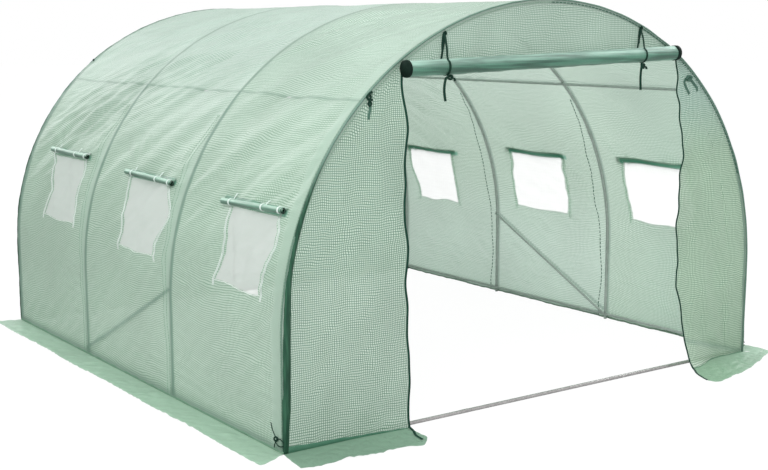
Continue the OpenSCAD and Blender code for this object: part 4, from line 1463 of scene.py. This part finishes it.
@dataclass
class Trimmings:
    """The sewn edges, the zips, and the cords at the feet and shoulders."""

    finishes: Finishes
    ends: EndSheets
    drapes: dict[Side, Drape]

    def binding(self, name: str, place: float, way: int) -> bpy.types.Object:
        """Binds the cover's edge over one end.

        Args:
            name: The piece's name.
            place: The end sheet's place along the tunnel. Not used.
            way: -1 at the front and 1 at the back.

        Returns:
            The piece.
        """
        climbs = spaced([0.004, ARCH.reach], 0.014)
        sections, darks = [], []
        for side, row in ((Side.LEFT, climbs), (Side.RIGHT, climbs[::-1][1:])):
            x, z, nx, nz = ARCH.at(row, side.value)
            inner, outer = self.rims(row, side is Side.LEFT and way < 0)
            outer = 0.0018 - outer + 0.0008 * Ripples(151 + side.value, 6, 0.06, 0.4).at(row, 0 * row)
            wrap = 0.0066 * (1 - smooth(-outer, -0.001, 0.002)) - 0.0004
            dark = (1.0 if side is Side.LEFT else 0.35) * (1 - smooth(row, 1.05, 1.40))
            faces = [self.face(side, x - nx * inner, z - nz * inner, way), self.face(side, x, z, way)]
            for n in range(len(row)):
                base, out = np.array([x[n], 0.0, z[n]]), np.array([nx[n], 0, nz[n]])
                corners = ((-inner[n], 0, -0.0022), (outer[n], 1, -0.0022), (outer[n], 1, wrap[n]),
                           (outer[n] - 0.0014, 1, wrap[n]), (outer[n] - 0.0014, 1, -0.0006), (-inner[n], 0, -0.0006))
                sections.append([base + out * a + np.array([0, faces[at][n] - way * b, 0]) for a, at, b in corners])
                darks.append([dark[n]] * len(corners))
        piece = sweep_object(name, np.array(sections)[:, :: -way], layers={"dark": np.array(darks)})
        return dress(piece, self.finishes.edge)

    def face(self, side: Side, x: Array, z: Array, way: int) -> Array:
        """Gives the outer face of the end sheet beside its edge, as places along the tunnel."""
        return self.ends.front_y(side, x, z) if way < 0 else BACK + self.ends.depth(x, z)

    @staticmethod
    def rims(climb: Array, wide: bool) -> tuple[Array, Array]:
        """Gives how far in from the corner the bound edge ends and starts.

        Args:
            climb: Lengths along the film up from the ground.
            wide: True for the broad tape at the doorway's left.

        Returns:
            The distances of the inner and of the outer rim.
        """
        if not wide:
            return 0.010 - 0.005 * smooth(climb, 0.8, 1.4), 0 * climb
        marks = np.array(((0.0, 0.022, 0.001), (0.1, 0.028, 0.001), (0.2, 0.036, 0.001), (0.4, 0.040, 0.004),
                          (0.55, 0.042, 0.007), (0.65, 0.037, 0.005), (0.8, 0.023, 0.003), (1.0, 0.018, 0.0),
                          (1.2, 0.008, -0.001), (1.4, 0.0030, -0.0016), (2.4, 0.0025, -0.0016)))
        return np.interp(climb, marks[:, 0], marks[:, 1]), np.interp(climb, marks[:, 0], marks[:, 2])

    def zips(self) -> bpy.types.Object:
        """Makes the zip tapes down the doorway's edges."""
        parts = []
        for side in Side:
            z = spaced([0.008, 1.66], 0.012)[::-1]
            x = self.ends.edge_x(side, z) + side.value * 0.0035
            y = self.ends.front_y(side, x, z) - 0.0012
            path = np.column_stack([x, y, z])
            ground = rounded_path([path[-1], *((gx, gy, 0.0075) for gx, gy in self.ends.zip_feet[side])], 0.01)
            path = np.vstack([path[:-1], ground])
            tangent = np.gradient(path, axis=0)
            lift = np.cross(tangent, (side.value, 0.0, 0.0))
            lift = np.where(path[:, 2:3] > 0.02, (0.0, -1.0, 0.0), (0.0, 0.0, 1.0)) + 0.3 * lift
            across = np.cross(lift, tangent)
            parts.append(tape_object("zip", path, across, 0.0115, 0.0018, lift))
            parts.append(cord_object("teeth", path + (-side.value * 0.0045, -0.0004, 0.0004), 0.0017, 6))
        return dress(joined("zip_tapes", parts), self.finishes.binding, ["door_zips"])

    def foot_seams(self) -> bpy.types.Object:
        """Makes the seam tapes where the upright sheets meet the flaps."""
        parts, sides = [], []
        for side in Side:
            y = np.linspace(FRONT, BACK, 260)
            high = 0.0085 + 0.0015 * Ripples(161 + side.value, 6, 0.06, 0.4).at(y, 0 * y)
            x = np.full_like(y, side.value * (1.5 + ARCH.film_offset + 0.0012))
            sides.append(tape_object("seam", np.column_stack([x, y, high]), (0, 0, 1), 0.012, 0.0012,
                                     np.array([side.value, 0.0, 0.0])))
        for low, high_x, way in ((-1.508, -0.852, -1), (0.998, 1.508, -1), (-1.508, 1.508, 1)):
            x = np.linspace(low, high_x, 120)
            share = np.linspace(1 if low < 0 else 0, 0 if low < 0 else 1, 120) if way < 0 else 0.3 + 0 * x
            high = 0.005 + (0.028 if low < 0 else 0.004) * share**1.2
            z = 0.002 + high / 2 + 0.0012 * Ripples(165, 6, 0.06, 0.4).at(x, 0 * x)
            side = Side.LEFT if low < 0 else Side.RIGHT
            y = self.ends.front_y(side, x, z) - 0.0014 if way < 0 else BACK + self.ends.depth(x, z) + 0.0014
            (parts if side is Side.LEFT and way < 0 else sides).append(
                tape_object("seam", np.column_stack([x, y, z]), (0, 0, 1), high, 0.0012, np.array([0.0, way, 0.0])))
        x = np.full(90, 0.012)
        z = np.linspace(0.01, 1.93, 90)
        parts.append(tape_object("seam", np.column_stack([x, BACK + self.ends.depth(x, z) + 0.0014, z]), (1, 0, 0),
                                 0.012, 0.0012, np.array([0.0, 1.0, 0.0])))
        dress(joined("side_seams", sides), self.finishes.hem)
        return dress(joined("foot_seams", parts), self.finishes.seam)

    def small_cords(self) -> bpy.types.Object:
        """Makes the tied cords at the front hoop's feet and at the shoulder rails."""
        parts, tails = [], []
        for side in Side:
            s = side.value
            corner = np.array([s * (1.5 + ARCH.film_offset + 0.004), FRONT + 0.045, 0.062])
            loop = [corner + np.array(p) * (s, 1, 1) for p in
                    ((0.001, -0.052, -0.004), (0.003, -0.030, 0.006), (0.004, -0.008, 0.002), (0.003, 0.010, -0.012),
                     (0.004, -0.006, -0.024), (0.003, -0.032, -0.026), (0.001, -0.052, -0.018))]
            parts.append(cord_object("cord", rounded_path(loop, 0.004), 0.0024, 8))
            knot = [corner + np.array(p) * (s, 1, 1) for p in
                    ((0.001, -0.006, 0.006), (0.007, 0.004, 0.010), (0.010, 0.010, 0.0), (0.006, 0.004, -0.010),
                     (0.002, -0.006, -0.004), (0.006, -0.010, 0.008))]
            parts.append(cord_object("knot", rounded_path(knot, 0.003), 0.0038, 8))
            for tail in (((0.003, 0.002, 0.002), (0.007, 0.016, 0.022), (0.006, 0.034, 0.044), (0.005, 0.044, 0.066)),
                         ((0.004, 0.000, -0.004), (0.009, 0.006, -0.022), (0.008, 0.014, -0.040))):
                path = rounded_path([corner + np.array(p) * (s, 1, 1) for p in tail], 0.004)
                parts.append(cord_object("tail", path, 0.0023, 8))
            if side is Side.RIGHT:
                # These ties lie behind the film but are laid on its outer face in muted green: painted shade
                for path in (((0.969, 1.552), (0.948, 1.543), (0.939, 1.532), (0.952, 1.505), (0.977, 1.469)),
                             ((0.969, 1.552), (0.992, 1.538), (1.018, 1.516), (1.034, 1.500), (1.040, 1.482))):
                    line = np.array([(x, float(self.ends.front_y(side, np.array(x), np.array(z))) - 0.003, z)
                                     for x, z in path])
                    line = rounded_path(line, 0.005)
                    across = np.cross(np.gradient(line, axis=0), (0.0, 1.0, 0.0))
                    tails.append(tape_object("tail", line, across, 0.0155, 0.0014))
                lump = [np.array((x, float(self.ends.front_y(side, np.array(x), np.array(z))) - 0.004, z)) for x, z in
                        ((0.948, 1.546), (0.966, 1.562), (0.990, 1.556), (0.978, 1.540), (0.958, 1.540))]
                tails.append(cord_object("knot", rounded_path(lump, 0.004), 0.0062, 8))
                continue
            shoulder = self.shoulder(side)
            lump = [shoulder + np.array(p) * (s, 1, 1) for p in
                    ((-0.016, -0.004, 0.010), (0.0, -0.007, 0.004), (0.010, -0.004, -0.010), (0.004, -0.006, -0.022),
                     (-0.008, -0.006, -0.016), (-0.004, -0.008, -0.002))]
            parts.append(cord_object("knot", rounded_path(lump, 0.003), 0.0048, 8))
            second = np.array(lump) * 0.8 + 0.2 * np.array(lump).mean(axis=0) + (-0.002 * s, -0.002, -0.030)
            parts.append(cord_object("knot", rounded_path(second, 0.003), 0.0046, 8))
            # The hanging tail lies behind the film but is laid on its outer face in muted green: painted shade
            hang = [shoulder + np.array(p) for p in ((-0.002 * s, -0.006, -0.038), (-0.003 * s, -0.007, -0.062),
                                                     (0.001 * s, -0.006, -0.086), (0.004 * s, -0.006, -0.108))]
            tails.append(tape_object("tail", rounded_path(hang, 0.006), (0.85, -0.52, 0), 0.012, 0.0014))
        x, z, nx, nz = (float(value) for value in ARCH.at(np.array(ARCH.climb_to(1.613)), -1))
        knob = [np.array([x + nx * a, HOOPS[3] - 0.004 + b, z + nz * a - c]) for a, b, c in
                ((0.002, 0.0, 0.0), (0.007, 0.004, 0.002), (0.009, -0.002, 0.010), (0.004, -0.008, 0.026))]
        parts.append(cord_object("knot", rounded_path(knob, 0.003), 0.0048, 8))
        dress(joined("shoulder_tails", tails), self.finishes.tail)
        return dress(joined("small_cords", parts), self.finishes.tie)

    def shoulder(self, side: Side) -> Array:
        """Gives the place on the front edge where the shoulder rail ends."""
        x, z, nx, nz = ARCH.at(np.array(RAIL_CLIMB + 0.040), side.value)
        return np.array([float(x) - float(nx) * 0.004, FRONT - 0.001, float(z) - float(nz) * 0.004])


# What repeats: bolts and stitches, grown by Geometry Nodes


class Growth:
    """A Geometry Nodes tree that is built in code, with named inputs."""

    def __init__(self, name: str) -> None:
        """Starts a tree with a geometry input and output."""
        self.tree = bpy.data.node_groups.new(name, "GeometryNodeTree")
        self.tree.interface.new_socket("Geometry", in_out="INPUT", socket_type="NodeSocketGeometry")
        self.tree.interface.new_socket("Geometry", in_out="OUTPUT", socket_type="NodeSocketGeometry")
        self.entry = self.tree.nodes.new("NodeGroupInput")
        self.exit = self.tree.nodes.new("NodeGroupOutput")
        self.numbers: dict[str, str] = {}

    def size(self, label: str, value: float) -> bpy.types.NodeSocket:
        """Adds a named length to the tree's inputs."""
        made = self.tree.interface.new_socket(label, in_out="INPUT", socket_type="NodeSocketFloat")
        made.default_value = value
        self.numbers[label] = made.identifier
        return next(s for s in self.entry.outputs if s.identifier == made.identifier)

    def node(self, kind: str, inputs: dict | None = None, **settings: object) -> bpy.types.Node:
        """Adds a node with its inputs and settings."""
        made = self.tree.nodes.new(kind)
        for label, value in settings.items():
            setattr(made, label, value)
        for key, value in (inputs or {}).items():
            if isinstance(value, bpy.types.NodeSocket):
                self.tree.links.new(value, made.inputs[key])
            else:
                made.inputs[key].default_value = value
        return made

    def close(self, geometry: bpy.types.NodeSocket, material: bpy.types.Material) -> None:
        """Ends the tree with real geometry and its material."""
        real = self.node("GeometryNodeRealizeInstances", {"Geometry": geometry}).outputs[0]
        done = self.node("GeometryNodeSetMaterial", {"Geometry": real, "Material": material}).outputs[0]
        self.tree.links.new(done, self.exit.inputs[0])

    def grow(self, seed_object: bpy.types.Object, name: str, sizes: dict[str, float]) -> bpy.types.Object:
        """Runs the tree on an object and keeps the result as a plain mesh.

        Args:
            seed_object: The object whose mesh the tree starts from. It is removed.
            name: The new piece's name.
            sizes: Values for the tree's named lengths.

        Returns:
            The new piece.
        """
        modifier = seed_object.modifiers.new("growth", "NODES")
        modifier.node_group = self.tree
        for label, value in sizes.items():
            modifier[self.numbers[label]] = value
        graph = bpy.context.evaluated_depsgraph_get()
        mesh = bpy.data.meshes.new_from_object(seed_object.evaluated_get(graph))
        mesh.name = name
        made = bpy.data.objects.new(name, mesh)
        bpy.context.scene.collection.objects.link(made)
        seed_object.modifiers.remove(modifier)
        bpy.data.objects.remove(seed_object)
        return made


@dataclass
class Hardware:
    """The bolts through the tubes' flattened ends."""

    finishes: Finishes
    reach_in: float = 0.0160

    def marks(self) -> tuple[list[Array], list[Array]]:
        """Lists the bolts' places on the hoops' centrelines, and their inward directions."""
        places, ways = [], []
        rail_z = 0.034
        for number, y in enumerate(HOOPS):
            for s in (-1, 1):
                places.append(np.array([s * ARCH.half_width, y, rail_z]))
                ways.append(np.array([-s, 0.0, 0.0]))
                turn = math.radians(45.0)
                radius = ARCH.shoulder_radius
                places.append(np.array([s * (ARCH.shoulder_x + radius * math.cos(turn)), y,
                                        ARCH.leg_height + radius * math.sin(turn)]))
                ways.append(np.array([-s * math.cos(turn), 0.0, -math.sin(turn)]))
            places.append(np.array([0.0, y, ARCH.ridge_height]))
            ways.append(np.array([0.0, 0.0, -1.0]))
            if number in (0, 3):
                for s in (-1, 1):
                    places.append(np.array([s * ARCH.half_width, y, 0.0093]))
                    ways.append(np.array([0.0, 1.0 if number == 0 else -1.0, 0.0]))
        # One head stands outside the cover, at the front apex
        lift = ARCH.film_offset + 0.001
        places.append(np.array([0.0, HOOPS[0] - 0.002, ARCH.ridge_height + lift]))
        ways.append(np.array([0.0, 0.0, -1.0]))
        for s, y in ((1, HOOPS[2]), (-1, HOOPS[1])):
            places.append(np.array([s * (ARCH.half_width - 0.0012), y, 0.55]))
            ways.append(np.array([-s, 0.0, 0.0]))
        return places, ways

    def bolts(self) -> bpy.types.Object:
        """Makes the bolts, with a nut inside and a domed head outside."""
        growth = Growth("bolt_growth")
        nut = growth.size("Nut radius", 0.0056)
        nut_high = growth.size("Nut height", 0.0045)
        head = growth.size("Head radius", 0.0052)
        depth = growth.size("Grip", 0.0160)
        shank = growth.size("Shank radius", 0.0026)
        hexagon = growth.node("GeometryNodeMeshCylinder", {"Vertices": 6, "Radius": nut, "Depth": nut_high})
        lift = growth.node("ShaderNodeCombineXYZ", {"Z": depth})
        placed = growth.node("GeometryNodeTransform", {"Geometry": hexagon.outputs[0], "Translation": lift.outputs[0]})
        dome = growth.node("GeometryNodeMeshUVSphere", {"Segments": 12, "Rings": 6, "Radius": head})
        down = growth.node("ShaderNodeMath", {0: 0.0, 1: 0.0092}, operation="SUBTRACT")
        low = growth.node("ShaderNodeCombineXYZ", {"Z": down.outputs[0]})
        squat = growth.node("GeometryNodeTransform", {"Geometry": dome.outputs[0], "Translation": low.outputs[0],
                                                      "Scale": (1.0, 1.0, 0.22)})
        pin = growth.node("GeometryNodeMeshCylinder", {"Vertices": 10, "Radius": shank, "Depth": 0.030})
        raised = growth.node("GeometryNodeTransform", {"Geometry": pin.outputs[0], "Translation": (0, 0, 0.005)})
        whole = growth.node("GeometryNodeJoinGeometry")
        for part in (placed, squat, raised):
            growth.tree.links.new(part.outputs[0], whole.inputs[0])
        way = growth.node("GeometryNodeInputNamedAttribute", {"Name": "way"}, data_type="FLOAT_VECTOR")
        turn = growth.node("FunctionNodeAlignRotationToVector", {"Vector": way.outputs[0]}, axis="Z")
        spread = growth.node("GeometryNodeInstanceOnPoints", {"Points": growth.entry.outputs[0],
                                                              "Instance": whole.outputs[0],
                                                              "Rotation": turn.outputs[0]})
        growth.close(spread.outputs[0], self.finishes.zinc)
        places, ways = self.marks()
        mesh = bpy.data.meshes.new("bolt_marks")
        mesh.from_pydata([p.tolist() for p in places], [], [])
        mesh.attributes.new("way", "FLOAT_VECTOR", "POINT").data.foreach_set("vector", np.array(ways).ravel())
        seed_object = bpy.data.objects.new("bolt_marks", mesh)
        bpy.context.scene.collection.objects.link(seed_object)
        piece = growth.grow(seed_object, "frame_bolts", {"Nut radius": 0.0058, "Grip": self.reach_in})
        return dress(piece, self.finishes.zinc)


@dataclass
class Stitching:
    """Rows of stitches along the cover's seams and the screens' trims."""

    finishes: Finishes
    drapes: dict[Side, Drape]
    windows: dict[Side, WindowDress]

    def seam_lines(self, side: Side) -> list[Array]:
        """Lists the seams of one side: beside the middle hoops and along the front binding."""
        lines = []
        climb = np.linspace(0.02, 1.45, 150)
        for hoop in HOOPS[1:3]:
            wander = 0.008 * Ripples(171 + side.value, 4, 0.25, 0.8).at(climb, 0 * climb)
            gap = 0.060 + 0.042 * smooth(climb, 0.3, 0.85) - 0.080 * smooth(climb, 1.10, 1.55)
            for nearer in (0.0, 0.034) if side is Side.LEFT else (0.0,):
                lines.append(cover_points(climb, hoop + np.maximum(gap - nearer, 0.016) + wander, side,
                                          self.drapes[side], 0.0006 if side is Side.LEFT else -0.0006))
        climb = np.linspace(0.02, ARCH.reach, 240)
        lines.append(cover_points(climb, FRONT + 0.012, side, self.drapes[side], 0.0010))
        x, z, nx, nz = ARCH.at(climb, side.value)
        hem = np.stack([x - nx * 0.0145, np.full_like(x, FRONT - 0.0032), z - nz * 0.0145], axis=-1)
        lines.append(hem[climb > 1.05])
        return lines

    def trim_lines(self) -> list[Array]:
        """Lists the lines of stitches down the middle of the screens' trims."""
        lines = []
        for side, dressing in self.windows.items():
            for window in dressing.drape.windows:
                for where in ("near", "far", "foot"):
                    climb, y = dressing.edge(window, where)
                    for shift in (-0.0055, 0.0055) if where != "foot" else (0.0,):
                        lines.append(cover_points(climb, y + shift, side, dressing.drape, 0.0020))
        return lines

    def tree(self, name: str, material: bpy.types.Material) -> Growth:
        """Builds the tree that sets a stitch at every step of a line."""
        growth = Growth(name)
        length = growth.size("Stitch length", 0.004)
        thick = growth.size("Thread radius", 0.0005)
        step = growth.size("Step", 0.008)
        curve = growth.node("GeometryNodeMeshToCurve", {"Mesh": growth.entry.outputs[0]})
        points = growth.node("GeometryNodeCurveToPoints", {"Curve": curve.outputs[0], "Length": step}, mode="LENGTH")
        stitch = growth.node("GeometryNodeMeshCylinder", {"Vertices": 5, "Radius": thick, "Depth": length})
        way = growth.node("FunctionNodeAlignRotationToVector", {"Vector": points.outputs["Tangent"]}, axis="Z")
        spread = growth.node("GeometryNodeInstanceOnPoints", {"Points": points.outputs["Points"],
                                                              "Instance": stitch.outputs[0],
                                                              "Rotation": way.outputs[0]})
        growth.close(spread.outputs[0], material)
        return growth

    def sew(self, name: str, lines: Sequence[Array], material: bpy.types.Material,
            sizes: dict[str, float]) -> bpy.types.Object:
        """Sews stitches along lines.

        Args:
            name: The piece's name.
            lines: The lines, as rows of points.
            material: The thread's finish.
            sizes: Values for the tree's named lengths.

        Returns:
            The piece.
        """
        points, edges, start = [], [], 0
        for line in lines:
            points += line.tolist()
            edges += [(start + n, start + n + 1) for n in range(len(line) - 1)]
            start += len(line)
        mesh = bpy.data.meshes.new(name + "_lines")
        mesh.from_pydata(points, edges, [])
        seed_object = bpy.data.objects.new(name + "_lines", mesh)
        bpy.context.scene.collection.objects.link(seed_object)
        piece = self.tree(name + "_growth", material).grow(seed_object, name, sizes)
        return dress(piece, material)

    def make(self) -> None:
        """Makes both kinds of stitches."""
        for side, finish in ((Side.LEFT, self.finishes.hem), (Side.RIGHT, self.finishes.thread)):
            thick, step = (0.0013, 0.0140) if side is Side.LEFT else (0.0026, 0.0240)
            self.sew(f"seam_stitches_{side.name.lower()}", self.seam_lines(side), finish,
                     {"Stitch length": 0.65 * step, "Thread radius": thick, "Step": step})
        self.sew("trim_stitches", self.trim_lines(), self.finishes.white,
                 {"Stitch length": 0.0060, "Thread radius": 0.0012, "Step": 0.0090})


# The studio


@dataclass
class Studio:
    """The camera, the floor and the light."""

    eye: tuple[float, float, float] = (-4.198, -6.063, 1.791)
    heading: float = 35.683
    dip: float = 9.126
    lens: float = 59.38
    sky: float = 0.80

    def camera(self) -> None:
        """Places the camera as the photograph was taken."""
        data = bpy.data.cameras.new("camera")
        data.sensor_width = 36.0
        data.lens = self.lens
        data.clip_end = 200.0
        turn, dip = math.radians(self.heading), math.radians(self.dip)
        look = Vector((math.sin(turn) * math.cos(dip), math.cos(turn) * math.cos(dip), -math.sin(dip)))
        made = bpy.data.objects.new("camera", data)
        made.location = self.eye
        made.rotation_mode = "QUATERNION"
        made.rotation_quaternion = look.to_track_quat("-Z", "Y")
        bpy.context.scene.collection.objects.link(made)
        bpy.context.scene.camera = made

    def floor(self) -> None:
        """Lays a plain pale floor."""
        mesh = bpy.data.meshes.new("studio_floor")
        far = 60.0
        mesh.from_pydata([(-far, -far, 0), (far, -far, 0), (far, far, 0), (-far, far, 0)], [], [(0, 1, 2, 3)])
        made = bpy.data.objects.new("studio_floor", mesh)
        bpy.context.scene.collection.objects.link(made)
        r = Recipe("pale_floor")
        shine = r.node("Emission", {"Color": (1, 1, 1, 1), "Strength": 1.06}).outputs[0]
        matt = r.node("BsdfDiffuse", {"Color": (0.62, 0.62, 0.62, 1)}).outputs[0]
        seen = r.math("MULTIPLY", r.node("LightPath").outputs["Is Camera Ray"], 0.90)
        mesh.materials.append(r.finish(r.node("MixShader", {0: seen, 1: matt, 2: shine}).outputs[0]))

    def light(self) -> None:
        """Sets a white surround and four large soft lamps."""
        scene = bpy.context.scene
        scene.view_settings.view_transform = "Standard"
        scene.view_settings.look = "None"
        world = bpy.data.worlds.new("surround")
        scene.world = world
        world.use_nodes = True
        nodes, links = world.node_tree.nodes, world.node_tree.links
        nodes.clear()
        path = nodes.new("ShaderNodeLightPath")
        seen, shed = nodes.new("ShaderNodeBackground"), nodes.new("ShaderNodeBackground")
        seen.inputs["Strength"].default_value = 1.0
        seen.inputs["Color"].default_value = shed.inputs["Color"].default_value = (1, 1, 1, 1)
        shed.inputs["Strength"].default_value = self.sky
        mix, out = nodes.new("ShaderNodeMixShader"), nodes.new("ShaderNodeOutputWorld")
        links.new(path.outputs["Is Camera Ray"], mix.inputs[0])
        links.new(shed.outputs[0], mix.inputs[1])
        links.new(seen.outputs[0], mix.inputs[2])
        links.new(mix.outputs[0], out.inputs["Surface"])
        for name, place, size, power in (("key_lamp", (-5.5, -5.0, 6.0), 4.0, 460.0),
                                         ("top_lamp", (0.5, 1.0, 7.5), 5.0, 170.0),
                                         ("side_lamp", (7.0, -1.0, 4.0), 4.0, 260.0),
                                         ("rim_lamp", (-1.5, 10.0, 4.6), 5.0, 220.0)):
            lamp = bpy.data.lights.new(name, "AREA")
            lamp.size, lamp.energy = size, power
            made = bpy.data.objects.new(name, lamp)
            made.location = place
            made.rotation_mode = "QUATERNION"
            made.rotation_quaternion = (Vector((0, 0, 0.8)) - Vector(place)).to_track_quat("-Z", "Y")
            scene.collection.objects.link(made)


WINDOWS = {
    Side.LEFT: (
        Window("left_front", 201, 0.662, 1.005, (-1.359, -1.363, -1.392, -1.430, -1.435, -1.400),
               (-0.963, -0.999, -1.022, -1.027, -1.014, -1.008), (-1.469, 1.043), (-0.913, 1.030)),
        Window("left_middle", 211, 0.680, 1.036, (-0.300, -0.305, -0.365, -0.405, -0.372, -0.313),
               (0.090, 0.066, 0.074, 0.098, 0.103, 0.100), (-0.392, 1.058), (0.155, 1.071)),
        Window("left_back", 221, 0.723, 1.066, (0.726, 0.749, 0.760, 0.748, 0.738, 0.762),
               (1.170, 1.135, 1.104, 1.135, 1.152, 1.195), (0.695, 1.104), (1.237, 1.110))),
    Side.RIGHT: (
        Window("right_front", 231, 0.655, 1.014, (-1.205, -1.212, -1.225, -1.215, -1.208, -1.220),
               (-0.743, -0.733, -0.714, -0.716, -0.724, -0.739), (-1.240, 1.040), (-0.674, 1.029)),
        Window("right_middle", 241, 0.629, 0.993, (-0.166, -0.176, -0.178, -0.172, -0.169, -0.173),
               (0.310, 0.325, 0.327, 0.315, 0.292, 0.300), (-0.203, 1.014), (0.355, 1.014)),
        Window("right_back", 251, 0.580, 0.932, (0.960, 0.972, 0.983, 0.984, 0.980, 0.970),
               (1.389, 1.400, 1.432, 1.463, 1.462, 1.446), (0.915, 0.948), (1.500, 0.943))),
}


def main() -> None:
    """Builds the part in order."""
    logging.basicConfig(level=logging.INFO, format="%(message)s")
    studio = Studio()
    studio.camera()
    studio.floor()
    studio.light()
    finishes = Finishes()
    for name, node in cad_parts.items():
        if name.startswith(("hoop", "base_rail", "shoulder_rail", "ridge", "end_bar", "brace")):
            node.data.materials.clear()
            node.data.materials.append(finishes.bar if name.startswith("end_bar") else finishes.zinc)
    drapes = {side: Drape(side, WINDOWS[side]) for side in Side}
    cover = Cover(finishes, drapes)
    for side in Side:
        cover.wall(side)
    cover.roof()
    ends = EndSheets(finishes)
    for side in Side:
        ends.beside_door(side)
    ends.over_door()
    ends.back()
    flaps = GroundFlaps(finishes, ends)
    for side in Side:
        flaps.beside(side)
        flaps.before(side)
    flaps.behind()
    door = DoorRoll(finishes)
    door.roll()
    door.hollow_shades()
    door.tapes()
    dressings = {side: WindowDress(finishes, side, drapes[side]) for side in Side}
    for dressing in dressings.values():
        for window in dressing.drape.windows:
            dressing.screen(window)
            dressing.roll(window)
        dressing.trims()
        dressing.ties()
    trimmings = Trimmings(finishes, ends, drapes)
    trimmings.binding("front_binding", FRONT, -1)
    trimmings.binding("back_binding", BACK, 1)
    trimmings.zips()
    trimmings.foot_seams()
    trimmings.small_cords()
    Hardware(finishes).bolts()
    Stitching(finishes, drapes, dressings).make()


if __name__ == "__main__":
    main()
